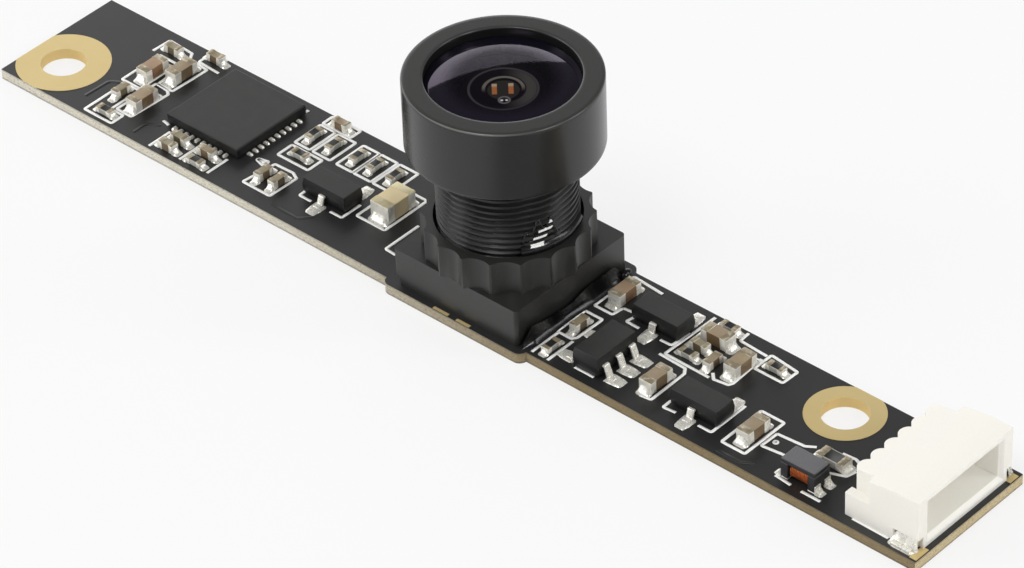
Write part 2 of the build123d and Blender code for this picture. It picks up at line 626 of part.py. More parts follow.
# Ceramic chip parts: name, size, landmark, and for each copy its grid steps and the way its length runs
CERAMIC_PARTS = (
    ("capacitor_left_1", CAPACITOR_SMALL, LEFT_HOLE_X, ((77, 54, "x"),)),
    ("capacitor_left_2", CAPACITOR_LARGE, LEFT_HOLE_X, ((86, 14, "y"),)),
    ("capacitor_left_3", CAPACITOR_LARGE, LEFT_HOLE_X, ((112, 30, "y"),)),
    ("capacitor_left_4", CAPACITOR_SMALL, LEFT_HOLE_X, ((86, -32, "y"),)),
    ("capacitor_left_5", CAPACITOR_LARGE, LEFT_HOLE_X, ((115, -30, "y"),)),
    ("capacitor_left_6", CAPACITOR_SMALL, LEFT_HOLE_X, ((122, 71, "x"),)),
    ("resistor_left_1", RESISTOR_SMALL, LEFT_HOLE_X, ((97, -65, "x"),)),
    ("capacitor_controller_1", CAPACITOR_SMALL, CONTROLLER_X, ((-16, -52, "x"),)),
    ("capacitor_controller_2", CAPACITOR_SMALL, CONTROLLER_X, ((-17, -68, "x"),)),
    ("capacitor_controller_3", CAPACITOR_SMALL, CONTROLLER_X, ((22, -51, "x"),)),
    ("resistor_controller_1", RESISTOR_SMALL, CONTROLLER_X, ((22, -68, "x"),)),
    ("capacitor_middle_1", CAPACITOR_SMALL, CONTROLLER_X, ((95, 69, "x"),)),
    ("resistor_middle_1", RESISTOR_SMALL, CONTROLLER_X, ((83, 41, "y"),)),
    ("resistor_middle_2", RESISTOR_SMALL, CONTROLLER_X, ((111, 41, "y"),)),
    ("resistor_middle_3", RESISTOR_SMALL, CONTROLLER_X, ((96, 7, "x"),)),
    ("resistor_row", RESISTOR_SMALL, CONTROLLER_X, ((143, 42, "y"), (167, 42, "y"), (194, 42, "y"))),
    ("capacitor_pair", CAPACITOR_SMALL, CONTROLLER_X, ((90, -40, "y"), (110, -40, "y"))),
    ("capacitor_bulk", CAPACITOR_BULK, CONTROLLER_X, ((229, 2, "y"),)),
    ("capacitor_right_1", CAPACITOR_LARGE, LENS_X, ((109, 44, "y"),)),
    ("capacitor_right_2", CAPACITOR_SMALL, LENS_X, ((106, -19, "y"),)),
    ("resistor_right_1", RESISTOR_SMALL, LENS_X, ((106, -60, "y"),)),
    ("capacitor_right_3", CAPACITOR_LARGE, LENS_X, ((218, -37, "y"),)),
    ("capacitor_right_4", CAPACITOR_LARGE, LENS_X, ((223, 49, "x"),)),
    ("resistor_right_2", RESISTOR_SMALL, LENS_X, ((220, 70, "x"),)),
    ("capacitor_right_5", CAPACITOR_SMALL, LENS_X, ((217, 29, "x"),)),
    ("resistor_right_3", RESISTOR_SMALL, LENS_X, ((215, 14, "x"),)),
    ("capacitor_right_6", CAPACITOR_SMALL, LENS_X, ((241, 19, "y"),)),
    ("capacitor_right_7", CAPACITOR_LARGE, LENS_X, ((265, 31, "y"),)),
    ("resistor_right_4", RESISTOR_SMALL, LENS_X, ((293, 51, "x"),)),
    ("capacitor_right_8", CAPACITOR_LARGE, LENS_X, ((336, -35, "y"),)),
    ("resistor_socket", RESISTOR_LARGE, RIGHT_HOLE_X, ((37, -19, "x"),)),
)


def ceramic_chip(x, y, size, run):
    """Draws a ceramic chip in the open part: a fired block with a metal cap wrapped on each end."""
    length, width, height = size
    bottom = (Align.CENTER, Align.CENTER, Align.MIN)
    cap_length = length * CAP_SHARE
    turn = 90 if run == "y" else 0
    with Locations(Location((x, y, BOARD_TOP), (0, 0, turn))):
        Box(length - 2 * CAP_PROUD, width - 2 * CAP_PROUD, height - CAP_PROUD, align=bottom)
        with Locations((-(length - cap_length) / 2, 0), ((length - cap_length) / 2, 0)):
            Box(cap_length, width, height, align=bottom)


for name, size, datum_x, copies in CERAMIC_PARTS:
    with BuildPart() as chip:
        for steps_x, steps_y, run in copies:
            chip_x, chip_y = grid_place(datum_x, steps_x, steps_y)
            ceramic_chip(chip_x, chip_y, size, run)
    chip.part.label = name
    export_step(chip.part, f"parts/{name}.step")


# Choke: bobbin with two flanges and a post, on four tinned terminals
CHOKE_STEPS = (31, -54)
choke_x, choke_y = grid_place(RIGHT_HOLE_X, *CHOKE_STEPS)
choke_seat = BOARD_TOP + CHOKE_TERMINAL
choke_span = CHOKE_LENGTH - 2 * CHOKE_FLANGE
post_height = choke_seat + CHOKE_FLANGE_HEIGHT / 2
bobbin_plane = Plane(origin=(choke_x, choke_y, post_height), x_dir=(0, 1, 0), z_dir=(1, 0, 0))

with BuildPart() as choke_bobbin:
    with BuildSketch(Plane.XY.offset(choke_seat)):
        with Locations((choke_x - (CHOKE_LENGTH - CHOKE_FLANGE) / 2, choke_y)):
            Rectangle(CHOKE_FLANGE, CHOKE_WIDTH)
        with Locations((choke_x + (CHOKE_LENGTH - CHOKE_FLANGE) / 2, choke_y)):
            Rectangle(CHOKE_FLANGE, CHOKE_WIDTH)
    extrude(amount=CHOKE_FLANGE_HEIGHT)
    with BuildSketch(bobbin_plane):
        Rectangle(CHOKE_POST_WIDTH, CHOKE_POST_HEIGHT)
    extrude(amount=choke_span / 2, both=True)
choke_bobbin.part.label = "choke_bobbin"
export_step(choke_bobbin.part, "parts/choke_bobbin.step")

with BuildPart() as choke_plate:
    with BuildSketch(Plane.XY.offset(choke_seat + CHOKE_FLANGE_HEIGHT)):
        with Locations((choke_x, choke_y)):
            Rectangle(CHOKE_LENGTH, CHOKE_WIDTH)
    extrude(amount=CHOKE_PLATE)
    chamfer(choke_plate.faces().sort_by(Axis.Z)[-1].edges(), CHOKE_CHAMFER)
choke_plate.part.label = "choke_plate"
export_step(choke_plate.part, "parts/choke_plate.step")

# The winding is a sleeve of wire round the post, with turns too fine to draw
with BuildPart() as choke_winding:
    with BuildSketch(bobbin_plane):
        RectangleRounded(
            CHOKE_POST_WIDTH + 2 * (WIRE_GAP + WIRE_BUILD),
            CHOKE_POST_HEIGHT + 2 * (WIRE_GAP + WIRE_BUILD),
            WIRE_BUILD,
        )
        Rectangle(CHOKE_POST_WIDTH + 2 * WIRE_GAP, CHOKE_POST_HEIGHT + 2 * WIRE_GAP, mode=Mode.SUBTRACT)
    extrude(amount=choke_span / 2 - WIRE_GAP, both=True)
choke_winding.part.label = "choke_winding"
export_step(choke_winding.part, "parts/choke_winding.step")

with BuildPart() as choke_terminals:
    terminal_width = (CHOKE_WIDTH - CHOKE_TERMINAL_GAP) / 2
    for end in (-1, 1):
        for side in (-1, 1):
            outward = (end, 0, 0)
            terminal_x = choke_x + end * CHOKE_LENGTH / 2
            terminal_y = choke_y + side * (CHOKE_WIDTH - terminal_width) / 2
            with BuildSketch(side_plane(terminal_x, terminal_y, outward)):
                with BuildLine():
                    Polyline(
                        (-CHOKE_FLANGE, 0),
                        (CHOKE_TERMINAL, 0),
                        (CHOKE_TERMINAL, CHOKE_FLANGE_HEIGHT / 2),
                        (0, CHOKE_FLANGE_HEIGHT / 2),
                        (0, CHOKE_TERMINAL),
                        (-CHOKE_FLANGE, CHOKE_TERMINAL),
                        close=True,
                    )
                make_face()
            extrude(amount=terminal_width / 2, both=True)
choke_terminals.part.label = "choke_terminals"
export_step(choke_terminals.part, "parts/choke_terminals.step")


# Socket housing: an open box with a falling roof, rounded posts behind and a recess for each tab
socket_width = (CONTACT_COUNT - 1) * CONTACT_PITCH + 2 * SOCKET_END_WIDTH
cavity_width = socket_width - 2 * SOCKET_SIDE
cavity_height = SOCKET_HEIGHT - SOCKET_FLOOR - SOCKET_ROOF
cavity_depth = SOCKET_DEPTH - SOCKET_BACK
block_depth = SOCKET_DEPTH - POST_PROUD
mouth_plane = Plane(origin=(SOCKET_MOUTH_X, SOCKET_Y, BOARD_TOP), x_dir=(0, 1, 0), z_dir=(1, 0, 0))
side_of_socket = Plane(origin=(SOCKET_REAR_X, SOCKET_Y, BOARD_TOP), x_dir=(1, 0, 0), z_dir=(0, -1, 0))
cavity_middle = SOCKET_FLOOR + cavity_height / 2
contact_rows = [
    SOCKET_Y + (index - (CONTACT_COUNT - 1) / 2) * CONTACT_PITCH for index in range(CONTACT_COUNT)
]
shoulder_places = [
    (SOCKET_REAR_X + SHOULDER_DEPTH / 2, SOCKET_Y + side * (socket_width - SHOULDER_WIDTH) / 2)
    for side in (-1, 1)
]
recess_places = [
    (SOCKET_MOUTH_X - RECESS_LENGTH / 2, SOCKET_Y + side * (socket_width - RECESS_DEPTH) / 2)
    for side in (-1, 1)
]

with BuildPart() as socket_housing:
    with BuildSketch(Plane.XY.offset(BOARD_TOP)):
        with Locations((SOCKET_MOUTH_X - block_depth / 2, SOCKET_Y)):
            Rectangle(block_depth, socket_width)
        with Locations((SOCKET_REAR_X + POST_RADIUS, SOCKET_Y)):
            with GridLocations(0, CONTACT_PITCH, 1, CONTACT_COUNT + 1):
                Circle(POST_RADIUS)
        with Locations(*shoulder_places):
            Rectangle(SHOULDER_DEPTH, SHOULDER_WIDTH)
    extrude(amount=SOCKET_HEIGHT)
    with BuildSketch(side_of_socket):
        with BuildLine():
            Polyline(
                (0, SOCKET_REAR_HEIGHT),
                (ROOF_FALL_LENGTH, SOCKET_HEIGHT),
                (0, SOCKET_HEIGHT),
                close=True,
            )
        make_face()
    extrude(amount=socket_width, both=True, mode=Mode.SUBTRACT)
    with BuildSketch(Plane.XY.offset(BOARD_TOP + SHOULDER_HEIGHT)):
        with Locations(*shoulder_places):
            Rectangle(SHOULDER_DEPTH, SHOULDER_WIDTH)
    extrude(amount=SOCKET_HEIGHT, mode=Mode.SUBTRACT)
    with BuildSketch(mouth_plane):
        with Locations((0, cavity_middle)):
            Rectangle(cavity_width, cavity_height)
    extrude(amount=-cavity_depth, mode=Mode.SUBTRACT)
    with BuildSketch(mouth_plane):
        with Locations((0, cavity_middle)):
            Rectangle(cavity_width + 2 * SOCKET_MOUTH_FLARE, cavity_height + 2 * SOCKET_MOUTH_FLARE)
    extrude(amount=-SOCKET_MOUTH_FLARE, taper=45, mode=Mode.SUBTRACT)
    for row in contact_rows:
        with BuildSketch(Plane.XY.offset(BOARD_TOP)):
            with Locations((SOCKET_REAR_X + SOCKET_BACK / 2, row)):
                Rectangle(SOCKET_BACK, CONTACT_WIDTH + 2 * CONTACT_GAP)
        extrude(amount=CONTACT_HEIGHT + CONTACT_THICKNESS / 2 + CONTACT_GAP, mode=Mode.SUBTRACT)
    with BuildSketch(Plane.XY.offset(BOARD_TOP)):
        with Locations(*recess_places):
            Rectangle(RECESS_LENGTH, RECESS_DEPTH)
    extrude(amount=RECESS_HEIGHT, mode=Mode.SUBTRACT)
socket_housing.part.label = "socket_housing"
export_step(socket_housing.part, "parts/socket_housing.step")


# Contacts: each runs level in the cavity, through the rear wall and down to a foot behind it
with BuildPart() as socket_contacts:
    blade_bottom = CONTACT_HEIGHT - CONTACT_THICKNESS / 2
    blade_top = CONTACT_HEIGHT + CONTACT_THICKNESS / 2
    for row in contact_rows:
        with BuildSketch(side_plane(SOCKET_REAR_X, row, (-1, 0, 0))):
            with BuildLine():
                Polyline(
                    (-SOCKET_BACK - CONTACT_REACH, blade_bottom),
                    (0, blade_bottom),
                    (0, 0),
                    (CONTACT_FOOT, 0),
                    (CONTACT_FOOT, CONTACT_THICKNESS),
                    (CONTACT_THICKNESS, CONTACT_THICKNESS),
                    (CONTACT_THICKNESS, blade_top),
                    (-SOCKET_BACK - CONTACT_REACH, blade_top),
                    close=True,
                )
            make_face()
        extrude(amount=CONTACT_WIDTH / 2, both=True)
socket_contacts.part.label = "socket_contacts"
export_step(socket_contacts.part, "parts/socket_contacts.step")


# Fixing tabs: a bent plate against the inner wall of each recess, with its foot on the board
tab_x = SOCKET_MOUTH_X - TAB_FROM_MOUTH - TAB_LENGTH / 2
with BuildPart() as socket_tabs:
    for side in (-1, 1):
        with BuildSketch(side_plane(tab_x, SOCKET_Y + side * socket_width / 2, (0, side, 0))):
            with BuildLine():
                Polyline(
                    (-RECESS_DEPTH, 0),
                    (TAB_FOOT, 0),
                    (TAB_FOOT, TAB_THICKNESS),
                    (TAB_THICKNESS - RECESS_DEPTH, TAB_THICKNESS),
                    (TAB_THICKNESS - RECESS_DEPTH, RECESS_HEIGHT),
                    (-RECESS_DEPTH, RECESS_HEIGHT),
                    close=True,
                )
            make_face()
        extrude(amount=TAB_LENGTH / 2, both=True)
socket_tabs.part.label = "socket_tabs"
export_step(socket_tabs.part, "parts/socket_tabs.step")
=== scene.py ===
# %% [markdown]
# # A camera module on a narrow board
#
# The object is a strip of black laminate, 60 mm long, with a wide-angle lens in a square holder,
# a controller chip, small ceramic parts and a white cable socket at one end.
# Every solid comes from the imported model, in metres, with the board's back face on Z = 0.
# This script dresses those solids. It never moves them.

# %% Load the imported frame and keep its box
import bpy
import bmesh
import math
from mathutils import Matrix, Vector


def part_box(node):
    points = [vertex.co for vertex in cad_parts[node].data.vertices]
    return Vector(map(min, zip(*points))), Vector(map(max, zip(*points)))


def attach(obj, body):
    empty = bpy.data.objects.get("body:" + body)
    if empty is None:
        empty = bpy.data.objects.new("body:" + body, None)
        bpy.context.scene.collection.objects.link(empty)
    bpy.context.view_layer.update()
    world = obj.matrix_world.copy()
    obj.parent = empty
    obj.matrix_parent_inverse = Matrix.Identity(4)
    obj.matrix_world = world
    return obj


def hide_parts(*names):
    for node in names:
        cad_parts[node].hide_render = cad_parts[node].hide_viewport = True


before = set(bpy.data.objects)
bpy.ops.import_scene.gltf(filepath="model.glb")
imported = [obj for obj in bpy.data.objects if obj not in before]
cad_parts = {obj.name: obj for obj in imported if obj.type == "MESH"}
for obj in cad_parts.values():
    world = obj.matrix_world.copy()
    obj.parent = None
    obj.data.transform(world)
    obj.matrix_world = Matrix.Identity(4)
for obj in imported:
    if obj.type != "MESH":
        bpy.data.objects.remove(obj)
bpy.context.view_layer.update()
MM = 0.001
print("nodes in the frame:", len(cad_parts))

# %% [markdown]
# ## The viewpoint
#
# The photograph looks down on the board from its near right corner through a long lens.
# The camera was fitted to the board's edges, the holder and the socket: the numbers below are the
# turn about the vertical, the height above the board, the roll and the distance from the lens axis.

# %% Camera
VIEW_AZIMUTH = math.radians(43.241)
VIEW_ELEVATION = math.radians(38.316)
VIEW_ROLL = math.radians(-2.27)
VIEW_DISTANCE = 244.509 * MM
VIEW_SHIFT_RIGHT = 0.059 * MM
VIEW_SHIFT_UP = -0.455 * MM
VIEW_LENS = 176.27
lens_low, lens_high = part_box("lens_barrel")
board_low, board_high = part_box("circuit_board")
BOARD_TOP = board_high.z
LENS_CENTRE = Vector(((lens_low.x + lens_high.x) / 2, 0, BOARD_TOP))
LENS_X = LENS_CENTRE.x / MM
BOARD_MM = BOARD_TOP / MM


def view_axes(azimuth, elevation, roll):
    """The camera's right, up and backward directions."""
    back = Vector((
        math.sin(azimuth) * math.cos(elevation),
        -math.cos(azimuth) * math.cos(elevation),
        math.sin(elevation),
    ))
    right = Vector((math.cos(azimuth), math.sin(azimuth), 0))
    up = back.cross(right)
    rolled_right = math.cos(roll) * right + math.sin(roll) * up
    rolled_up = -math.sin(roll) * right + math.cos(roll) * up
    return rolled_right, rolled_up, back


right, up, back = view_axes(VIEW_AZIMUTH, VIEW_ELEVATION, VIEW_ROLL)
eye = LENS_CENTRE + back * VIEW_DISTANCE + right * VIEW_SHIFT_RIGHT + up * VIEW_SHIFT_UP
camera_data = bpy.data.cameras.new("photo_camera")
camera_data.lens = VIEW_LENS
camera_data.clip_start = 10 * MM
camera_data.clip_end = 10
camera = bpy.data.objects.new("photo_camera", camera_data)
camera.matrix_world = Matrix((
    (right.x, up.x, back.x, eye.x),
    (right.y, up.y, back.y, eye.y),
    (right.z, up.z, back.z, eye.z),
    (0, 0, 0, 1),
))
bpy.context.scene.collection.objects.link(camera)
bpy.context.scene.camera = camera
print("camera stands at", [round(v / MM, 1) for v in eye], "mm")

# %% [markdown]
# ## Light
#
# The object stands in a white studio: soft light from above and both sides, and a low panel behind
# it that the front glass mirrors. Near-black plastic shows its shape only by what it mirrors, so the
# lamps are few and soft, and the pale floor below does as much for the walls as they do.

# %% Lamps
def softbox(name, azimuth, elevation, distance, width, height, power):
    """A soft rectangular lamp that looks at the lens from a compass direction, 0 being the camera's."""
    turn = VIEW_AZIMUTH + math.radians(azimuth)
    _, _, direction = view_axes(turn, math.radians(elevation), 0)
    lamp_data = bpy.data.lights.new(name, "AREA")
    lamp_data.shape = "RECTANGLE"
    lamp_data.size = width
    lamp_data.size_y = height
    lamp_data.energy = power
    lamp = bpy.data.objects.new(name, lamp_data)
    lamp.matrix_world = Matrix.Translation(LENS_CENTRE + direction * distance) @ (
        direction.to_track_quat("Z", "Y").to_matrix().to_4x4()
    )
    bpy.context.scene.collection.objects.link(lamp)


softbox("lamp_above", -40, 62, 0.5, 0.16, 0.16, 0.66)
softbox("lamp_left", -85, 28, 0.45, 0.16, 0.3, 0.4)
softbox("lamp_right", 85, 32, 0.45, 0.08, 0.3, 0.35)
softbox("lamp_mouth", 46, 30, 0.5, 0.12, 0.12, 0.6)
softbox("panel_behind", -142, 18, 0.4, 1.5, 0.28, 2.1)
bpy.context.scene.view_settings.view_transform = "Standard"
print("lamps:", len(bpy.data.lights))

# %% [markdown]
# ## Sums on sockets
#
# A mask such as "how far from the lens axis" is a sum, and reads best as one. This class wraps a
# socket of a node tree and gives it the usual operators, so the sum can be written in Python and
# the Math nodes appear by themselves. One more method adds any other node.


# %% A socket that can be added and multiplied
class Value:
    """A socket of a node tree that takes part in plain sums."""

    def __init__(self, tree, socket):
        self.tree = tree
        self.socket = socket

    def math(self, operation, *terms):
        return self.tree.node("ShaderNodeMath", {"operation": operation}, list(terms))

    def __add__(self, other):
        return self.math("ADD", self, other)

    def __sub__(self, other):
        return self.math("SUBTRACT", self, other)

    def __rsub__(self, other):
        return self.math("SUBTRACT", other, self)

    def __mul__(self, other):
        return self.math("MULTIPLY", self, other)

    def __truediv__(self, other):
        return self.math("DIVIDE", self, other)

    def __pow__(self, other):
        return self.math("POWER", self, other)

    def __abs__(self):
        return self.math("ABSOLUTE", self)

    __radd__ = __add__
    __rmul__ = __mul__

    def above(self, other):
        return self.math("GREATER_THAN", self, other)

    def below(self, other):
        return self.math("LESS_THAN", self, other)

    def sine(self):
        return self.math("SINE", self)

    def cosine(self):
        return self.math("COSINE", self)

    def part(self):
        return self.math("FRACT", self)

    def largest(self, other):
        return self.math("MAXIMUM", self, other)

    def smallest(self, other):
        return self.math("MINIMUM", self, other)


# %% A node tree with one way to add a node
class Tree:
    """A node tree: `node` adds a node, sets it up and links what it is given."""

    def __init__(self, nodes):
        self.nodes = nodes
        self.nodes.nodes.clear()

    def node(self, kind, settings=None, sockets=None, output=0):
        """Adds a node, sets it up first, then gives its sockets values or links."""
        node = self.nodes.nodes.new(kind)
        for key, setting in (settings or {}).items():
            if key == "stops":
                self.set_stops(node.color_ramp, setting)
            else:
                setattr(node, key, setting)
        given = enumerate(sockets) if isinstance(sockets, list) else (sockets or {}).items()
        for key, value in given:
            if isinstance(value, Value):
                self.nodes.links.new(value.socket, node.inputs[key])
            else:
                node.inputs[key].default_value = value
        return Value(self, node.outputs[output]) if len(node.outputs) else node

    @staticmethod
    def set_stops(ramp, stops):
        while len(ramp.elements) < len(stops):
            ramp.elements.new(1)
        for element, (place, colour) in zip(ramp.elements, stops):
            element.position = place
            element.color = colour

    def vector(self, x, y, z):
        return self.node("ShaderNodeCombineXYZ", sockets=[x, y, z])

    def parts(self, vector):
        axes = self.node("ShaderNodeSeparateXYZ", sockets=[vector]).socket.node
        return [Value(self, axes.outputs[axis]) for axis in range(3)]

    def rise(self, value, start, end):
        """0 before start, 1 after end and a smooth rise between them."""
        return self.node(
            "ShaderNodeMapRange",
            {"interpolation_type": "SMOOTHSTEP"},
            {"Value": value, "From Min": start, "From Max": end},
        )


# %% [markdown]
# ## The room
#
# The room lights the object evenly from all sides. It is plain white where the camera, or a ray
# through glass, looks past the object. It is dim where a mirror looks, so that near-black faces stay
# near black and only the low panel shows in the glass.


# %% Room light
def looked_at(tree, *rays):
    """1 for the named kinds of ray, 0 for all others."""
    path = tree.node("ShaderNodeLightPath").socket.node
    seen = Value(tree, path.outputs[rays[0]])
    for ray in rays[1:]:
        seen = seen.largest(Value(tree, path.outputs[ray]))
    return seen


def white_room(even, mirrored):
    """A plain room: how strongly it lights the object, and how bright a mirror finds it."""
    room = bpy.data.worlds.new("white_room")
    room.use_nodes = True
    bpy.context.scene.world = room
    tree = Tree(room.node_tree)
    walls = [
        tree.node("ShaderNodeBackground", sockets={"Color": (1, 1, 1, 1), "Strength": strength})
        for strength in (even, mirrored, 1.0)
    ]
    unseen = tree.node("ShaderNodeMixShader", sockets=[looked_at(tree, "Is Glossy Ray"), walls[0], walls[1]])
    seen = looked_at(tree, "Is Camera Ray", "Is Transmission Ray")
    room_light = tree.node("ShaderNodeMixShader", sockets=[seen, unseen, walls[2]])
    tree.node("ShaderNodeOutputWorld", sockets={"Surface": room_light})
    return room


print("room:", white_room(0.42, 0.17).name)

# %% [markdown]
# ## Finishes
#
# A finish is a material: it works in millimetres on the object's own coordinates, so that a grain
# of a hundredth of a millimetre is written as such. Colours are written as they look on a screen,
# and `tone` turns them into the linear values that light needs.


# %% Colours
def tone(red, green, blue):
    """A screen colour, 0 to 255 a channel, as linear light."""
    def linear(level):
        level /= 255
        return level / 12.92 if level <= 0.04045 else ((level + 0.055) / 1.055) ** 2.4
    return (linear(red), linear(green), linear(blue), 1)


print("a middle grey on the screen is", [round(v, 2) for v in tone(128, 128, 128)], "in light")


# %% The finish class
class Finish(Tree):
    """A material whose maths runs in millimetres on object coordinates."""

    def __init__(self, name):
        self.material = bpy.data.materials.new(name)
        self.material.use_nodes = True
        super().__init__(self.material.node_tree)
        place = self.node("ShaderNodeTexCoord", output="Object")
        self.place = self.node("ShaderNodeVectorMath", {"operation": "SCALE"}, {0: place, "Scale": 1 / MM})
        self.x, self.y, self.z = self.parts(self.place)

    def blend(self, mask, first, second):
        """The first colour where the mask is 0, the second where it is 1."""
        return self.node(
            "ShaderNodeMix", {"data_type": "RGBA"}, {0: mask, 6: first, 7: second}, output=2
        )

    def noise(self, scale, detail=2, stretch=None, roughness=0.5):
        """Noise with so many lumps a millimetre, stretched along the axes if asked."""
        place = self.place
        if stretch:
            place = self.node("ShaderNodeVectorMath", {"operation": "MULTIPLY"}, [place, stretch])
        return self.node(
            "ShaderNodeTexNoise",
            sockets={"Vector": place, "Scale": scale, "Detail": detail, "Roughness": roughness},
        )

    def distance(self, x, y):
        """Distance in the plane of the board from a point, both in millimetres."""
        return ((self.x - x) ** 2 + (self.y - y) ** 2) ** 0.5

    def towards_viewer(self):
        """Distances from the lens axis: to the viewer's right, and towards the viewer."""
        along = self.x - LENS_X
        right_of = along * math.cos(VIEW_AZIMUTH) + self.y * math.sin(VIEW_AZIMUTH)
        near_by = along * math.sin(VIEW_AZIMUTH) - self.y * math.cos(VIEW_AZIMUTH)
        return right_of, near_by

    def upward(self):
        """1 on faces that look up, 0 on the others."""
        normal = self.node("ShaderNodeNewGeometry", output="Normal")
        return self.rise(self.parts(normal)[2], 0.4, 0.8)

    def bump(self, height, strength, distance):
        """A bump from a height between 0 and 1, standing so many millimetres high."""
        return self.node(
            "ShaderNodeBump", sockets={"Height": height, "Strength": strength, "Distance": distance * MM}
        )

    def surface(self, **sockets):
        """Ends the finish: each word names a socket of the Principled shader."""
        given = {key.replace("_", " ").title().replace("Ior", "IOR"): value for key, value in sockets.items()}
        shader = self.node("ShaderNodeBsdfPrincipled", sockets=given)
        self.node("ShaderNodeOutputMaterial", sockets={"Surface": shader})
        return self.material


print("a finish reads its place in steps of", MM, "m")

# %% [markdown]
# ## Moulded and turned plastic
#
# The holder is moulded from black plastic with a fine satin grain. The barrel is turned and
# smoother, with faint rings from the tool. Both are near black, so their shape is read from
# highlights alone: the grain is kept low, and the roughness does most of the work. The head's flat
# rim is painted a little paler than its wall as painted light, and a thin painted highlight runs along
# its outer edge, fainter along the mouth, brightest on the stretch that is near and to the left of the
# viewer.


# %% The holder's finish
def moulded_black():
    """Satin black moulding with a fine grain."""
    finish = Finish("moulded_black_plastic")
    grain = finish.noise(14, 3)
    cloud = finish.noise(0.6, 2)
    return finish.surface(
        base_color=finish.blend(cloud, tone(33, 33, 32), tone(43, 43, 41)),
        roughness=0.32 + 0.14 * grain,
        normal=finish.bump(grain, 0.25, 0.01),
    )


MOULDED_BLACK = moulded_black()
print("holder:", MOULDED_BLACK.name)

# %% The barrel's finish
STEM_RADIUS = 3.5
MOUTH_RADIUS = 3.8


def turned_black(rim_radius, top):
    """Satin black with faint rings about the lens axis, a painted paler top rim and painted highlight lines
    along the head's edges.
    """
    finish = Finish("turned_black_plastic")
    out = finish.distance(LENS_X, 0)
    rings = (out * 30).sine() * 0.5 + 0.5
    grain = finish.noise(10, 3)
    near_top = finish.rise(finish.z, top - 0.11, top - 0.05)
    aside, near = finish.towards_viewer()
    # The stretch of the head's edge where the painted highlight is brightest: near the viewer and to the
    # left.
    bright = finish.rise(aside, -3.7, -2.7) * (1 - finish.rise(aside, -1.2, 1.6)) * finish.rise(near, 0, 1)
    rim = finish.rise(out, rim_radius - 0.09, rim_radius - 0.03)
    mouth = 1 - finish.rise(out, MOUTH_RADIUS + 0.02, MOUTH_RADIUS + 0.06)
    # Painted highlight: a light line along the head's outer edge, and a fainter one along the mouth.
    edges = near_top * (rim * (0.3 + bright * 0.8) + mouth * 0.15)
    threaded = 1 - finish.rise(out, STEM_RADIUS + 0.02, STEM_RADIUS + 0.1)
    plain = finish.blend(grain, tone(22, 22, 22), tone(29, 29, 28))
    # Painted light: the head's flat top rim is made paler than the wall.
    faced = finish.blend(near_top * finish.upward(), plain, tone(50, 50, 49))
    return finish.surface(
        base_color=finish.blend(edges, faced, tone(104, 104, 100)),
        roughness=0.2 + 0.08 * grain + threaded * 0.16,
        normal=finish.bump(rings * 0.4 + grain, 0.07, 0.006),
    )


TURNED_BLACK = turned_black((lens_high.x - lens_low.x) / 2 / MM, lens_high.z / MM)
print("barrel:", TURNED_BLACK.name, "with", len(TURNED_BLACK.node_tree.nodes), "nodes")

# %% [markdown]
# ## Epoxy and nylon
#
# The chips are moulded in a matt black epoxy. Their sides lie in the shade of the parts around them,
# so the finish paints that shade in: the sides are a little darker than the upper face. The socket is moulded
# in undyed nylon.
# Its walls are thin, so some light comes through to the inside: a weak painted glow stands for it, kept to
# the inside by a box-shaped mask, and some scattering under the skin softens the rest.


# %% The packages' finish
def package_epoxy():
    """Fine matt black epoxy of the moulded packages, with painted shade on the sides."""
    finish = Finish("package_epoxy")
    grain = finish.noise(22, 4)
    cloud = finish.noise(1.5, 2)
    top = finish.blend(cloud, tone(36, 36, 36), tone(48, 48, 46))
    return finish.surface(
        # Painted shade: faces that do not look up are darker than the upper face.
        base_color=finish.blend(finish.upward(), tone(22, 22, 22), top),
        roughness=0.42 + 0.2 * grain,
        normal=finish.bump(grain, 0.4, 0.008),
    )


EPOXY = package_epoxy()
print("packages:", EPOXY.name)


# %% The socket's finish
def socket_nylon():
    """Natural white nylon: slightly warm, with a painted glow within the housing for the light its thin walls
    let through.
    """
    finish = Finish("socket_nylon")
    grain = finish.noise(9, 3)
    low, high = (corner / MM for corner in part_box("socket_housing"))
    # The box that holds the painted glow: the space within the housing's walls.
    inside = (
        finish.x.above(low.x + 1.25) * finish.x.below(high.x - 0.03)
        * finish.y.above(low.y + 0.8) * finish.y.below(high.y - 0.8)
        * finish.z.above(low.z + 0.3) * finish.z.below(high.z - 0.47)
    )
    return finish.surface(
        base_color=finish.blend(grain, tone(236, 233, 224), tone(243, 240, 232)),
        roughness=0.42 + 0.12 * grain,
        normal=finish.bump(grain, 0.15, 0.008),
        # Painted glow: a weak emission within the box stands for light coming through the thin walls.
        emission_color=finish.blend(inside, tone(0, 0, 0), tone(82, 82, 81)),
        emission_strength=1.0,
        subsurface_weight=0.15,
        subsurface_radius=(0.6 * MM, 0.5 * MM, 0.4 * MM),
        subsurface_scale=1.0,
    )


NYLON = socket_nylon()
print("plastics:", len(bpy.data.materials))

# %% [markdown]
# ## Metal finishes
#
# Tin is bright and a little lumpy where it was molten. The mounting rings are gold plate over
# copper, satin because the copper under it is rough. The choke is wound with lacquered copper.
# A fully metallic surface would mirror the white studio and little else, so most of these metals are
# only partly metallic: they keep a colour of their own from every side.


# %% Tin and the dipped ends of chips
def bright_tin():
    """Solder and tinned leads."""
    finish = Finish("bright_tin")
    lumps = finish.noise(5, 3)
    return finish.surface(
        base_color=finish.blend(lumps, tone(232, 229, 217), tone(252, 250, 243)),
        metallic=0.5,
        roughness=0.18 + 0.2 * lumps,
        normal=finish.bump(lumps, 0.4, 0.04),
    )


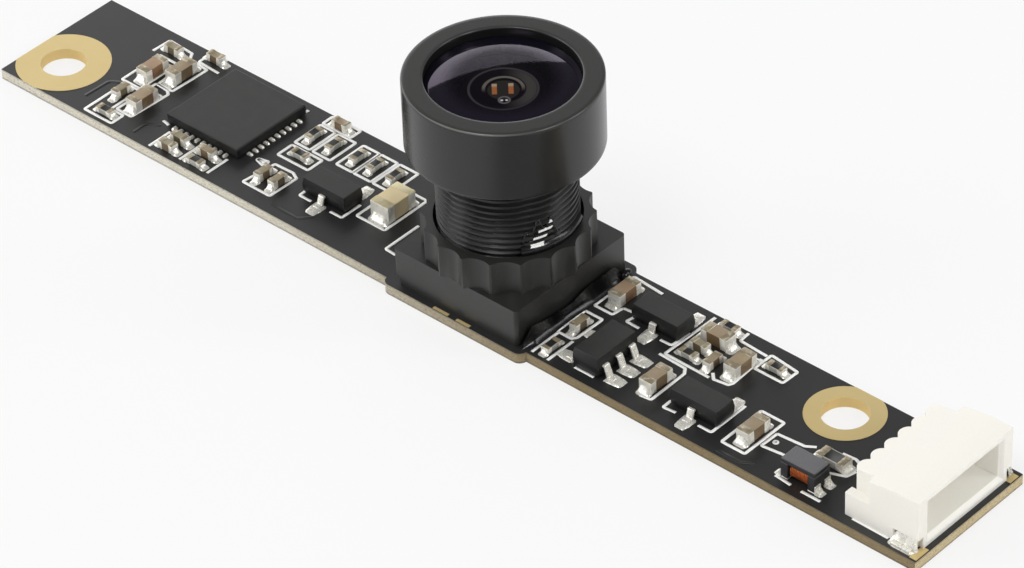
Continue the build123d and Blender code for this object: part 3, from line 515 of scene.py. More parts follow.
def dipped_metal(name, top):
    """The metal end of a chip: bright on its sides, duller and blotched on top."""
    finish = Finish(name)
    lumps = finish.noise(4, 3)
    bright_sides = finish.blend(lumps, tone(226, 222, 208), tone(252, 250, 242))
    duller_top = finish.blend(finish.rise(lumps, 0.45, 0.75), top, tone(206, 196, 172))
    return finish.surface(
        base_color=finish.blend(finish.upward(), bright_sides, duller_top),
        metallic=0.35,
        roughness=0.2 + 0.25 * lumps,
        normal=finish.bump(lumps, 0.4, 0.04),
    )


TIN = bright_tin()
CHIP_END = dipped_metal("dipped_chip_end", tone(150, 138, 114))
BULK_END = dipped_metal("dipped_bulk_end", tone(200, 188, 142))
print("tinned finishes: 3")


# %% Gold plate and copper wire
def gold_plate():
    """Satin gold over rough copper."""
    finish = Finish("gold_plate")
    grain = finish.noise(8, 4)
    cloud = finish.noise(0.5, 2)
    return finish.surface(
        base_color=finish.blend(cloud, tone(218, 194, 134), tone(226, 204, 148)),
        metallic=0.5,
        roughness=0.36 + 0.16 * grain,
        normal=finish.bump(grain, 0.2, 0.01),
    )


def copper_wire():
    """Lacquered copper."""
    finish = Finish("copper_wire")
    grain = finish.noise(6, 2)
    return finish.surface(
        base_color=finish.blend(grain, tone(176, 88, 42), tone(222, 128, 72)),
        metallic=0.8,
        roughness=0.3,
    )


GOLD = gold_plate()
COPPER = copper_wire()
print("plate and wire:", GOLD.name, COPPER.name)


# %% The choke's ferrite
def grey_ferrite():
    """Ground ferrite: pale grey on its flat top, nearly black down the sides."""
    finish = Finish("grey_ferrite")
    grain = finish.noise(14, 4)
    top = finish.blend(grain, tone(84, 84, 87), tone(112, 112, 115))
    return finish.surface(
        base_color=finish.blend(finish.upward(), tone(40, 40, 42), top),
        roughness=0.4 + 0.2 * grain,
        normal=finish.bump(grain, 0.3, 0.008),
    )


FERRITE = grey_ferrite()
print("choke:", FERRITE.name)

# %% [markdown]
# ## The laminate
#
# The board is glass fibre and resin under a black lacquer. The lacquer is only on the two faces,
# so its edge shows the layers: pale grey at the left end, browner to the right. The finish tells the
# faces from the edge by height, and plates the walls of the two screw holes by distance.

# %% Board finish
LACQUER = 0.025
HOLE_RADIUS = 1.2
board_middle = (board_high.z + board_low.z) / 2 / MM
LEFT_HOLE = (-27.9, -1.55)
RIGHT_HOLE = (20.95, 2.17)


def lacquered_laminate():
    """Black lacquer on the faces, layered fibre on the edge, plate on the walls of the holes."""
    finish = Finish("lacquered_laminate")
    depth = abs(finish.z - board_middle)
    edge = 1 - finish.rise(depth, board_middle - LACQUER * 1.4, board_middle - LACQUER * 0.6)
    along = finish.rise(finish.x, -14.0, 10.0)
    layers = finish.noise(1, 4, stretch=(2.2, 2.2, 22))
    flecks = finish.noise(7, 4, stretch=(1, 1, 2), roughness=0.7)
    pale = finish.blend(layers, tone(176, 168, 148), tone(244, 240, 226))
    brown = finish.blend(layers, tone(98, 84, 58), tone(164, 146, 108))
    cut_end = finish.blend(layers, tone(232, 222, 188), tone(160, 130, 70))
    side = finish.blend(finish.x.above(board_high.x / MM - 0.03), finish.blend(along, pale, brown), cut_end)
    speckled = finish.blend(finish.rise(flecks, 0.5, 0.68) * 0.7, side, tone(84, 72, 50))
    seam = finish.rise(depth, 0.2, 0.215) * (1 - finish.rise(depth, 0.235, 0.25))
    fibre = finish.blend(seam * 0.6, speckled, tone(52, 46, 36))
    cloud = finish.noise(0.35, 2)
    lacquer = finish.blend(cloud, tone(31, 31, 31), tone(41, 41, 41))
    plated = finish.distance(*LEFT_HOLE).smallest(finish.distance(*RIGHT_HOLE)).below(HOLE_RADIUS + 0.03)
    skin = finish.blend(edge, lacquer, fibre)
    grain = finish.noise(12, 3)
    return finish.surface(
        base_color=finish.blend(plated, skin, tone(228, 206, 150)),
        metallic=plated * 0.8,
        roughness=0.34 + 0.1 * grain + edge * 0.35,
        normal=finish.bump(grain * 0.2 + layers * edge, 0.3, 0.02),
    )


LAMINATE = lacquered_laminate()
print("laminate:", len(LAMINATE.node_tree.nodes), "nodes")

# %% [markdown]
# ## The floor
#
# The object lies on a plain pale sheet. Part of the sheet's brightness is its own where the camera
# or a mirror sees it, which keeps the background white and the shadow faint. A mirror finds the sheet
# darker in front of the lens, as if a grey card lay there: that is what gives the head its dark
# middle between two bright sides.


# %% Floor
FLOOR_SIZE = 1.2
FLOOR_OWN_LIGHT = 0.75


def pale_floor():
    """A pale sheet that is partly its own lamp, and darker in mirrors in front of the lens."""
    finish = Finish("pale_floor")
    aside, near = finish.towards_viewer()
    card = (1 - finish.rise(abs(aside - 4.5), 5.0, 15.0)) * finish.rise(near, 6.0, 9.0)
    seen = looked_at(finish, "Is Camera Ray", "Is Transmission Ray") * FLOOR_OWN_LIGHT
    in_mirror = looked_at(finish, "Is Glossy Ray")
    mirrored = in_mirror * (0.95 - card * 0.7)
    paper = finish.blend(card * in_mirror, (0.88, 0.88, 0.88, 1), (0.3, 0.3, 0.3, 1))
    sheet = finish.node(
        "ShaderNodeBsdfPrincipled", sockets={"Base Color": paper, "Roughness": 1.0, "Specular IOR Level": 0.0}
    )
    glow = finish.node("ShaderNodeEmission", sockets={"Color": (1, 1, 1, 1), "Strength": 0.96})
    mixed = finish.node("ShaderNodeMixShader", sockets=[seen + mirrored, sheet, glow])
    finish.node("ShaderNodeOutputMaterial", sockets={"Surface": mixed})
    return finish.material


floor_mesh = bpy.data.meshes.new("floor")
half = FLOOR_SIZE / 2
floor_mesh.from_pydata(
    [(-half, -half, 0), (half, -half, 0), (half, half, 0), (-half, half, 0)], [], [(0, 1, 2, 3)]
)
floor_mesh.materials.append(pale_floor())
floor = bpy.data.objects.new("floor", floor_mesh)
bpy.context.scene.collection.objects.link(floor)
floor.location.z = board_low.z - 0.02 * MM
print("floor:", FLOOR_SIZE, "m square")

# %% [markdown]
# ## Solids that stay in view
#
# The board and the two mounting rings are flat and sharp on the real object too, so their solids
# stay in view and only take a finish.


# %% Dress the board and its rings
def dress(node, finish):
    """Gives a solid that stays in view its finish."""
    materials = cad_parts[node].data.materials
    materials.clear()
    materials.append(finish)


dress("circuit_board", LAMINATE)
dress("ring_pad_left", GOLD)
dress("ring_pad_right", GOLD)
print("solids dressed: 3")

# %% [markdown]
# ## Pieces
#
# Every piece is an object at the origin, unturned and unscaled, whose place is in its mesh. So a
# pattern on object coordinates stays where it is drawn. Modifiers shape
# the piece, and are turned into plain mesh before the piece is fixed to the body.


# %% Adding a piece and handing it over
def add_piece(name, mesh, *materials):
    """A new object at the origin with these materials, not yet riding on a body."""
    piece = bpy.data.objects.new(name, mesh)
    bpy.context.scene.collection.objects.link(piece)
    if mesh.materials:
        mesh.materials.clear()
    for material in materials:
        mesh.materials.append(material)
    return piece


def hand_over(piece, node=None):
    """Fixes the piece to the one rigid body, and in the place of a solid if it has one."""
    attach(piece, "root")
    if node:
        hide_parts(node)
    return piece


# %% From a form or a modifier to a plain mesh
def finished_mesh(form, name):
    """Turns the faces of a form outward and makes a mesh of it."""
    bmesh.ops.recalc_face_normals(form, faces=form.faces)
    mesh = bpy.data.meshes.new(name)
    form.to_mesh(mesh)
    form.free()
    return mesh


def settle(piece):
    """Turns the piece and its modifiers into one plain mesh."""
    bpy.context.view_layer.update()
    evaluated = piece.evaluated_get(bpy.context.evaluated_depsgraph_get())
    mesh = bpy.data.meshes.new_from_object(evaluated)
    if piece.type == "MESH":
        piece.modifiers.clear()
        piece.data = mesh
        return piece
    name = piece.name
    bpy.data.objects.remove(piece)
    made = bpy.data.objects.new(name, mesh)
    bpy.context.scene.collection.objects.link(made)
    return made


def smooth(piece, angle=35):
    """Smooth shading, with a crease wherever the faces turn by more than the angle."""
    mesh = piece.data
    mesh.polygons.foreach_set("use_smooth", [True] * len(mesh.polygons))
    mesh.set_sharp_from_angle(angle=math.radians(angle))
    return piece


# %% [markdown]
# ## Carrying a solid over with softened edges
#
# No moulded or stamped piece has a knife edge, and the thin highlight along a soft edge is what
# makes it read as real. A copy of the solid is merged, its flat faces are joined again, and a Bevel
# modifier rounds each edge that is sharper than thirty degrees. A Weighted Normal modifier then keeps
# the shading of the large faces flat, so that only the narrow roundings catch the light.

# %% Softened copies
SAME_POINT = 0.0005 * MM


def merged_copy(node):
    """The solid's mesh with its loose triangles joined and its flat faces whole again."""
    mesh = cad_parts[node].data.copy()
    form = bmesh.new()
    form.from_mesh(mesh)
    bmesh.ops.remove_doubles(form, verts=form.verts, dist=SAME_POINT)
    bmesh.ops.dissolve_limit(form, angle_limit=math.radians(0.5), verts=form.verts, edges=form.edges)
    form.to_mesh(mesh)
    form.free()
    return mesh


def softened(node, name, material, width, segments=2):
    """A copy of the solid with its edges rounded, which stands in its place."""
    piece = add_piece(name, merged_copy(node), material)
    bevel = piece.modifiers.new("edges", "BEVEL")
    bevel.width = width * MM
    bevel.segments = segments
    bevel.limit_method = "ANGLE"
    bevel.angle_limit = math.radians(30)
    bevel.use_clamp_overlap = True
    piece.data.polygons.foreach_set("use_smooth", [True] * len(piece.data.polygons))
    flat = piece.modifiers.new("flat faces", "WEIGHTED_NORMAL")
    flat.mode = "FACE_AREA"
    flat.weight = 100
    return hand_over(settle(piece), node)


# %% Soften the moulded, stamped and ground pieces
SOFTENED = (
    ("lens_holder", "moulded_lens_holder", MOULDED_BLACK, 0.05, "holder_plastic"),
    ("controller_chip", "controller_package", EPOXY, 0.03, "package_epoxy"),
    ("transistor_left", "transistor_left_body", EPOXY, 0.03, "package_epoxy"),
    ("transistor_middle", "transistor_middle_body", EPOXY, 0.03, "package_epoxy"),
    ("transistor_right", "transistor_right_body", EPOXY, 0.03, "package_epoxy"),
    ("regulator", "regulator_body", EPOXY, 0.03, "package_epoxy"),
    ("socket_housing", "moulded_socket", NYLON, 0.05, "socket_plastic"),
    ("socket_tabs", "bent_socket_tabs", TIN, 0.04, "tin"),
    ("socket_contacts", "bent_socket_contacts", TIN, 0.03, "tin"),
    ("transistor_leads", "bent_transistor_leads", TIN, 0.05, "tin"),
    ("regulator_leads", "bent_regulator_leads", TIN, 0.05, "tin"),
    ("choke_bobbin", "ferrite_bobbin", FERRITE, 0.03, "ferrite"),
    ("choke_plate", "ferrite_plate", FERRITE, 0.04, "ferrite"),
    ("choke_terminals", "choke_end_metal", TIN, 0.02, "tin"),
)
for node, name, material, width, slot in SOFTENED:
    piece = softened(node, name, material, width, 3 if material is TIN else 2)
    print(name, len(piece.data.polygons), "faces")

# %% [markdown]
# ## The turned barrel and its thread
#
# The barrel is one turned piece: a wide head over a stem with a fine thread. A thread follows a
# rule, so the whole surface is made by Geometry Nodes: a grid is rolled about the lens axis, each
# row takes its radius and height from one point of the outline, and where the outline is threaded
# the radius swings with height and angle together. That last sum is what makes the ridges climb.


# %% A form made by geometry nodes
class Form(Tree):
    """A geometry node tree with named inputs, and the way it is put on a piece."""

    def __init__(self, name, **inputs):
        self.group = bpy.data.node_groups.new(name, "GeometryNodeTree")
        super().__init__(self.group)
        interface = self.group.interface
        interface.new_socket("Geometry", in_out="INPUT", socket_type="NodeSocketGeometry")
        interface.new_socket("Geometry", in_out="OUTPUT", socket_type="NodeSocketGeometry")
        self.identifiers = {
            label: interface.new_socket(label, in_out="INPUT", socket_type="NodeSocket" + kind).identifier
            for label, kind in {**inputs, "finish": "Material"}.items()
        }
        start = self.node("NodeGroupInput").socket.node
        self.given = {socket.name: Value(self, socket) for socket in start.outputs}

    def attribute(self, name, kind="FLOAT"):
        return self.node("GeometryNodeInputNamedAttribute", {"data_type": kind}, {"Name": name})

    def close(self, geometry):
        """Ends the tree: instances become mesh, and the mesh takes the finish."""
        real = self.node("GeometryNodeRealizeInstances", sockets={"Geometry": geometry})
        faced = self.node(
            "GeometryNodeSetMaterial", sockets={"Geometry": real, "Material": self.given["finish"]}
        )
        self.node("NodeGroupOutput", sockets=[faced])

    def apply(self, piece, finish, **settings):
        """Puts the tree on a piece, sets its inputs and leaves a plain mesh."""
        modifier = piece.modifiers.new(self.group.name, "NODES")
        modifier.node_group = self.group
        for label, setting in {**settings, "finish": finish}.items():
            modifier[self.identifiers[label]] = setting
        return settle(piece)


# %% The turning tree
def turning_form():
    """Rolls an outline about an upright axis, with a thread where the outline is marked."""
    form = Form("turned_piece", segments="Int", centre="Vector", pitch="Float", depth="Float")
    given = form.given
    rows = form.node("GeometryNodeAttributeDomainSize", {"component": "MESH"}, [given["Geometry"]])
    grid = form.node(
        "GeometryNodeMeshGrid",
        sockets={"Size X": 1.0, "Size Y": 1.0, "Vertices X": given["segments"] + 1, "Vertices Y": rows},
    )
    index = form.node("GeometryNodeInputIndex")
    row = index.math("MODULO", index, rows)
    turn = (index - row) / rows / given["segments"]

    def sampled(kind, value):
        """What the outline's point of this row holds."""
        return form.node(
            "GeometryNodeSampleIndex",
            {"data_type": kind, "domain": "POINT"},
            {"Geometry": given["Geometry"], "Value": value, "Index": row},
        )

    radius, _, height = form.parts(sampled("FLOAT_VECTOR", form.node("GeometryNodeInputPosition")))
    threaded = sampled("FLOAT", form.attribute("threaded"))
    swing = abs((height / given["pitch"] - turn + 100).part() * 2 - 1)
    threaded_radius = radius - given["depth"] * threaded * form.rise(swing, 0.15, 0.85)
    angle = turn * (2 * math.pi)
    placed = form.vector(threaded_radius * angle.cosine(), threaded_radius * angle.sine(), height)
    centred = form.node("ShaderNodeVectorMath", {"operation": "ADD"}, [placed, given["centre"]])
    rolled = form.node("GeometryNodeSetPosition", sockets={"Geometry": grid, "Position": centred})
    form.close(form.node("GeometryNodeMergeByDistance", sockets={"Geometry": rolled, "Distance": 0.5e-6}))
    return form


TURNING = turning_form()
print("turning tree:", len(TURNING.group.nodes), "nodes")

# %% [markdown]
# ## Outlines that are turned
#
# An outline is a closed loop of radius and height, in millimetres above the board. Its threaded
# stretch has many rows, so that the ridges have something to bend, and marks them for the tree.


# %% Turn an outline into a piece
TURN_SEGMENTS = 160
GLASS_SEGMENTS = 128
THREAD_PITCH = 0.35
THREAD_DEPTH = 0.17


def turned(name, outline, material, node, segments=TURN_SEGMENTS):
    """Rolls a closed outline of (radius, height, threaded) rows about the lens axis."""
    mesh = bpy.data.meshes.new(name)
    rows = [*outline, outline[0]]
    mesh.from_pydata([(radius * MM, 0, height * MM) for radius, height, _ in rows], [], [])
    mark = mesh.attributes.new("threaded", "FLOAT", "POINT")
    mark.data.foreach_set("value", [threaded for _, _, threaded in rows])
    piece = add_piece(name, mesh, material)
    TURNING.apply(
        piece, material,
        segments=segments, centre=LENS_CENTRE, pitch=THREAD_PITCH * MM, depth=THREAD_DEPTH * MM,
    )
    form = bmesh.new()
    form.from_mesh(piece.data)
    bmesh.ops.recalc_face_normals(form, faces=form.faces)
    form.to_mesh(piece.data)
    form.free()
    print(name, len(piece.data.polygons), "faces")
    return hand_over(smooth(piece), node)


# %% Stretches of an outline
def corners(*points):
    """Outline rows with no thread on them."""
    return [(radius, height, 0.0) for radius, height in points]


def arc(start, end, sag, count):
    """Rows from one point to another along a shallow arc that rises by `sag` half-way."""
    rows = []
    for step in range(count + 1):
        share = step / count
        radius = start[0] + (end[0] - start[0]) * share
        height = start[1] + (end[1] - start[1]) * share + sag * 4 * share * (1 - share)
        rows.append((radius, height, 0.0))
    return rows


def soft_corner(before, corner, after, radius=0.1, steps=3):
    """Rows round a square corner, with one more row on each flat to keep its shading flat."""
    before, corner, after = Vector(before), Vector(corner), Vector(after)
    into = (before - corner).normalized()
    out = (after - corner).normalized()
    points = [corner + into * radius * 2.5]
    for step in range(steps + 1):
        turn = math.radians(90 * step / steps)
        swung = into * (1 - math.sin(turn)) + out * (1 - math.cos(turn))
        points.append(corner + swung * radius)
    points.append(corner + out * radius * 2.5)
    return corners(*points)


# %% [markdown]
# The barrel's sizes come from its box: the foot, the top and the head's radius. The stem's radius,
# the head's underside and the mouth are read from the photograph, as they are in the solid.

# %% The barrel
HEAD_RADIUS = min(lens_high.x - lens_low.x, lens_high.y - lens_low.y) / 2 / MM
BARREL_FOOT = (lens_low.z - BOARD_TOP) / MM
HEAD_TOP = (lens_high.z - BOARD_TOP) / MM
HEAD_UNDERSIDE = HEAD_TOP - 3.85
GLASS_EDGE = HEAD_TOP - 0.5
FRONT_SEAT = GLASS_EDGE - 1.0
STACK_RADIUS = 2.75
FILTER_SEAT = BARREL_FOOT + 0.4
THREAD_ROWS = 8

thread_start = BARREL_FOOT + 0.2
thread_end = HEAD_UNDERSIDE - 0.3
row_count = int((thread_end - thread_start) / THREAD_PITCH * THREAD_ROWS)
thread_rows = []
for row in range(row_count + 1):
    height = thread_start + (thread_end - thread_start) * row / row_count
    fade = min(1.0, row / THREAD_ROWS, (row_count - row) / THREAD_ROWS)
    thread_rows.append((STEM_RADIUS, height, fade))

barrel_outline = [
    *corners((2.6, BARREL_FOOT), (STEM_RADIUS - 0.15, BARREL_FOOT), (STEM_RADIUS, BARREL_FOOT + 0.15)),
    *thread_rows,
    *corners(
        (STEM_RADIUS - 0.12, thread_end + 0.05),
        (STEM_RADIUS - 0.12, HEAD_UNDERSIDE),
    ),
    *soft_corner((STEM_RADIUS, HEAD_UNDERSIDE), (HEAD_RADIUS, HEAD_UNDERSIDE), (HEAD_RADIUS, HEAD_TOP)),
    *soft_corner((HEAD_RADIUS, HEAD_UNDERSIDE), (HEAD_RADIUS, HEAD_TOP), (MOUTH_RADIUS, HEAD_TOP)),
    *soft_corner((HEAD_RADIUS, HEAD_TOP), (MOUTH_RADIUS, HEAD_TOP), (MOUTH_RADIUS, FRONT_SEAT), 0.07),
    *corners(
        (MOUTH_RADIUS, FRONT_SEAT),
        (STACK_RADIUS, FRONT_SEAT),
        (STACK_RADIUS, FILTER_SEAT + 1.5),
        (2.1, FILTER_SEAT + 1.5),
        (2.1, FILTER_SEAT),
        (2.6, FILTER_SEAT),
    ),
]
turned("threaded_lens_barrel", barrel_outline, TURNED_BLACK, "lens_barrel")

# %% [markdown]
# ## The glass
#
# The front lens is a shallow dome with a violet coat. Seen from the side it mirrors the low panel
# in its far half and stays nearly black in the near half. The middle of the dome is half clear, and
# its hollow back carries a painted picture of what shows from deeper down: two faint rings, one with a
# painted lighter crescent on the right, the dark disc of the next lens with a painted highlight arc at
# its far edge, and two amber bars and two small glints that are painted reflections and highlights.
# These are drawn in the viewer's own right and near directions, `aside` and `near`.


# %% The front glass
def coated_glass():
    """Dark violet glass, clear in the middle and closed at the rim."""
    finish = Finish("coated_front_glass")
    rim = finish.rise(finish.distance(LENS_X, 0), 2.0, 3.2)
    return finish.surface(
        base_color=finish.blend(rim, tone(8, 7, 12), tone(14, 12, 22)),
        roughness=0.05,
        ior=1.58,
        alpha=0.35 + 0.65 * rim,
        specular_tint=(0.84, 0.68, 1.0, 1),
    )


FRONT_GLASS = coated_glass()
print("front glass:", FRONT_GLASS.name)


# %% The view into the lens
def deep_view():
    """What shows from deeper in the lens, with painted reflections, highlights and light, drawn on the hollow
    back of the front glass.
    """
    finish = Finish("view_into_the_lens")
    out = finish.distance(LENS_X, 0)
    aside, near = finish.towards_viewer()

    def band(value, middle, half_width, soft=0.04):
        return 1 - finish.rise(abs(value - middle), half_width, half_width + soft)

    def spot(right_of, near_by, radius):
        reach = ((aside - right_of) ** 2 + (near - near_by) ** 2) ** 0.5
        return 1 - finish.rise(reach, radius, radius + 0.04)

    amber_reflection_bars = (band(aside, -0.43, 0.1) + band(aside, 0.36, 0.1)) * band(near, 0.0, 0.4)
    deep = tone(13, 11, 14)
    for mask, colour in (
        (band(out, 1.66, 0.04), tone(78, 75, 78)),
        # Painted light: a ring band made lighter towards the viewer's right.
        (band(out, 1.34, 0.2, 0.1) * finish.rise(aside, -0.2, 1.3), tone(84, 80, 78)),
        # Painted highlight: a light arc on the far half of the next lens's edge.
        (band(out, 0.95, 0.06) * (1 - finish.rise(near, -0.3, 0.3)), tone(128, 122, 112)),
        (spot(0, 0.1, 0.75), tone(54, 51, 47)),
        # Painted reflections: the two amber bars, cream at their far ends.
        (amber_reflection_bars, tone(196, 122, 72)),
        (amber_reflection_bars * (1 - finish.rise(near, -0.3, -0.1)), tone(206, 186, 156)),
        (band(((aside - 0.02) ** 2 + (near - 0.9) ** 2) ** 0.5, 0.26, 0.03), tone(120, 118, 120)),
        # Painted highlights: two small white glints.
        (spot(-0.1, 0.92, 0.05) + spot(0.13, 0.92, 0.045), tone(250, 250, 255)),
    ):
        deep = finish.blend(mask, deep, colour)
    return finish.surface(base_color=deep, roughness=0.6, specular_ior_level=0.0)


DEEP_VIEW = deep_view()
print("view into the lens:", len(DEEP_VIEW.node_tree.nodes), "nodes")


# %% The inner glass
def inner_glass():
    """Nearly black coated glass with a faint amber ring."""
    finish = Finish("coated_inner_glass")
    out = finish.distance(LENS_X, 0)
    amber = finish.rise(out, 0.35, 0.5) * (1 - finish.rise(out, 0.6, 0.8))
    return finish.surface(
        base_color=finish.blend(amber, tone(12, 11, 16), tone(120, 62, 30)),
        roughness=0.12,
        ior=1.5,
    )


INNER_GLASS = inner_glass()
print("inner glass:", INNER_GLASS.name)

# %% The front lens
GLASS_CROWN = 0.42
glass_radius = MOUTH_RADIUS - 0.02
front_outline = [
    *arc((0.001, GLASS_EDGE + GLASS_CROWN), (glass_radius - 0.04, GLASS_EDGE + 0.005), 0.1, 20),
    *corners((glass_radius, GLASS_EDGE - 0.03), (glass_radius, FRONT_SEAT), (2.3, FRONT_SEAT)),
    *corners((2.12, FRONT_SEAT + 0.55), (2.05, FRONT_SEAT + 0.62), (0.001, FRONT_SEAT + 0.62)),
]
front_glass = turned(
    "domed_front_glass", front_outline, FRONT_GLASS, "front_lens", GLASS_SEGMENTS
)
front_glass.data.materials.append(DEEP_VIEW)
deep_slot = len(front_glass.data.materials) - 1
for face in front_glass.data.polygons:
    middle = face.center - LENS_CENTRE
    if middle.z < (FRONT_SEAT + 0.64) * MM and middle.xy.length < 2.25 * MM:
        face.material_index = deep_slot
seen_through = sum(face.material_index == deep_slot for face in front_glass.data.polygons)
print("faces that carry the view:", seen_through)

# %% Glass and rings behind the front lens
for node, name, material, slot in (
    ("second_lens", "inner_lens_glass", INNER_GLASS, "coated_glass"),
    ("rear_lens", "rear_lens_glass", INNER_GLASS, "coated_glass"),
    ("infrared_filter", "infrared_filter_glass", INNER_GLASS, "filter_glass"),
    ("baffle_ring", "turned_baffle_ring", TURNED_BLACK, "barrel_plastic"),
    ("stop_ring", "turned_stop_ring", TURNED_BLACK, "barrel_plastic"),
    ("image_sensor", "sensor_package", EPOXY, "package_epoxy"),
):
    softened(node, name, material, 0.02, 1)
    print(name, "stands for", node)

# %% [markdown]
# ## Ceramic chip parts
#
# A chip capacitor is a fired block with both ends dipped in metal. A chip resistor is a flat slip of
# pale alumina with a black glaze on top and the same metal ends. Both are made by walking a rounded
# rectangle along the part: it shrinks at the two ends and steps in where the metal stops. The edge
# of the dip wanders a little, as it does on the real part.


# %% The capacitors' finish
def fired_ceramic():
    """Brown to olive ceramic, painted lighter and greyer on the upper face: each part carries its own shade
    as an attribute.
    """
    finish = Finish("fired_ceramic")
    shade = finish.node("ShaderNodeAttribute", {"attribute_name": "shade"}, output="Fac")
    cloud = finish.noise(1.2, 3)
    grain = finish.noise(11, 3)
    side = finish.blend(shade, tone(98, 89, 66), tone(136, 102, 73))
    top = finish.blend(shade, tone(136, 128, 104), tone(160, 131, 104))
    # Painted light: the upper face is made lighter and greyer than the sides.
    fired = finish.blend(finish.upward(), side, top)
    return finish.surface(
        base_color=finish.blend(finish.rise(cloud, 0.5, 0.75) * 0.4, fired, tone(168, 154, 122)),
        roughness=0.4 + 0.2 * grain,
        normal=finish.bump(grain, 0.35, 0.01),
    )


CERAMIC = fired_ceramic()
print("capacitors:", CERAMIC.name)


# %% The large capacitor's and the resistors' finish
def bulk_ceramic():
    """Pale tan ceramic of the one large capacitor."""
    finish = Finish("bulk_ceramic")
    cloud = finish.noise(1.0, 3)
    grain = finish.noise(11, 3)
    return finish.surface(
        base_color=finish.blend(cloud, tone(205, 186, 142), tone(222, 204, 164)),
        roughness=0.45 + 0.15 * grain,
        normal=finish.bump(grain, 0.3, 0.01),
    )


def glazed_alumina():
    """Pale alumina with a black glaze printed on the middle of its top."""
    finish = Finish("glazed_alumina")
    grain = finish.noise(12, 3)
    across = finish.node("ShaderNodeAttribute", {"attribute_name": "across"}, output="Fac")
    glaze = finish.upward() * (1 - finish.rise(abs(across), 0.78, 0.84))
    alumina = finish.blend(grain, tone(160, 160, 152), tone(186, 186, 178))
    return finish.surface(
        base_color=finish.blend(glaze, alumina, tone(34, 34, 32)),
        roughness=0.34 + 0.2 * grain,
        normal=finish.bump(grain, 0.25, 0.008),
    )


BULK = bulk_ceramic()
GLAZED = glazed_alumina()
print("large capacitor and resistors:", BULK.name, GLAZED.name)


# %% Find the separate solids of a node
def solids_of(node):
    """The lowest and highest corners, in millimetres, of each separate solid of a node."""
    form = bmesh.new()
    form.from_mesh(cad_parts[node].data)
    bmesh.ops.remove_doubles(form, verts=form.verts, dist=SAME_POINT)
    waiting = set(form.verts)
    boxes = []
    while waiting:
        reached = [waiting.pop()]
        group = []
        while reached:
            vertex = reached.pop()
            group.append(vertex.co / MM)
            for edge in vertex.link_edges:
                other = edge.other_vert(vertex)
                if other in waiting:
                    waiting.remove(other)
                    reached.append(other)
        low = Vector([min(point[axis] for point in group) for axis in range(3)])
        high = Vector([max(point[axis] for point in group) for axis in range(3)])
        boxes.append((low, high))
    form.free()
    return sorted(boxes, key=lambda corners_of: (corners_of[0].x, corners_of[0].y))


def lie_of(low, high):
    """How a solid lies: its middle and size, whether it runs along X, and its length and width."""
    size = high - low
    return (low + high) / 2, size, size.x >= size.y, max(size.x, size.y), min(size.x, size.y)


print("the resistor row has", len(solids_of("resistor_row")), "parts")

# %% The rounded section of a chip
CHIP_CORNER = 0.05
SECTION_STEPS = 3


def rounded_section(half_width, height, corner, inset):
    """Points round a rounded rectangle that stands on the board, drawn in by an inset."""
    points = []
    for across, up, start in ((1, 0, -90), (1, 1, 0), (-1, 1, 90), (-1, 0, 180)):
        centre_y = across * (half_width - corner)
        centre_z = corner if up == 0 else height - corner
        for step in range(SECTION_STEPS + 1):
            turn = math.radians(start + 90 * step / SECTION_STEPS)
            reach = corner - inset
            points.append((centre_y + reach * math.cos(turn), centre_z + reach * math.sin(turn)))
    return points


# %% Walk the section along one chip
CHIP_STEP = 0.02
CAP_SHARE = 0.24


def chip_form(form, low, high, shade_layer, across_layer, shade, seed):
    """Adds one chip to a mesh in the making: metal ends are material 1, the body is material 0."""
    middle, size, runs_x, length, width = lie_of(low, high)
    cap = length * CAP_SHARE
    half_length = length / 2
    stations = [
        (-half_length, CHIP_CORNER * 0.9, 0),
        (-half_length + CHIP_CORNER * 0.3, CHIP_CORNER * 0.3, 0),
        (-half_length + CHIP_CORNER, 0, 0),
        (-half_length + cap, 0, 1),
        (-half_length + cap + CHIP_STEP, CHIP_STEP, 1),
    ]
    bare = len(stations) - 1
    stations += [(-place, inset, wander) for place, inset, wander in reversed(stations)]
    loops = []
    for number, (place, inset, wander) in enumerate(stations):
        loop = []
        for turn, (across, up) in enumerate(rounded_section(width / 2, size.z, CHIP_CORNER, inset)):
            drift = wander * 0.035 * math.sin(turn * 0.9 + seed + number * 0.7)
            along = place + drift
            point = (along, across) if runs_x else (across, along)
            vertex = form.verts.new(Vector((
                (middle.x + point[0]) * MM,
                (middle.y + point[1]) * MM,
                (low.z + up) * MM,
            )))
            vertex[across_layer] = across / (width / 2)
            loop.append(vertex)
        loops.append(loop)
    count = len(loops[0])
    for number in range(len(loops) - 1):
        metal = 0 if number == bare else 1
        for turn in range(count):
            face = form.faces.new((
                loops[number][turn],
                loops[number][(turn + 1) % count],
                loops[number + 1][(turn + 1) % count],
                loops[number + 1][turn],
            ))
            face.material_index = metal
            face[shade_layer] = shade
    for loop in (loops[0], loops[-1]):
        face = form.faces.new(loop)
        face.material_index = 1
        face[shade_layer] = shade


# %% All chips of a node as one piece
def chips(node, name, material, ends, shade=0.5):
    """Makes every chip of a node as one piece in its place."""
    form = bmesh.new()
    layer = form.faces.layers.float.new("shade")
    across_layer = form.verts.layers.float.new("across")
    for number, (low, high) in enumerate(solids_of(node)):
        chip_form(form, low, high, layer, across_layer, shade, low.x * 3 + number)
    piece = smooth(add_piece(name, finished_mesh(form, name), material, ends), 40)
    return hand_over(piece, node)


# %% [markdown]
# No two fired blocks have quite the same brown. Each capacitor's shade, from olive at 0 to reddish
# brown at 1, is chosen from the photograph and stored on its faces for the finish to read.

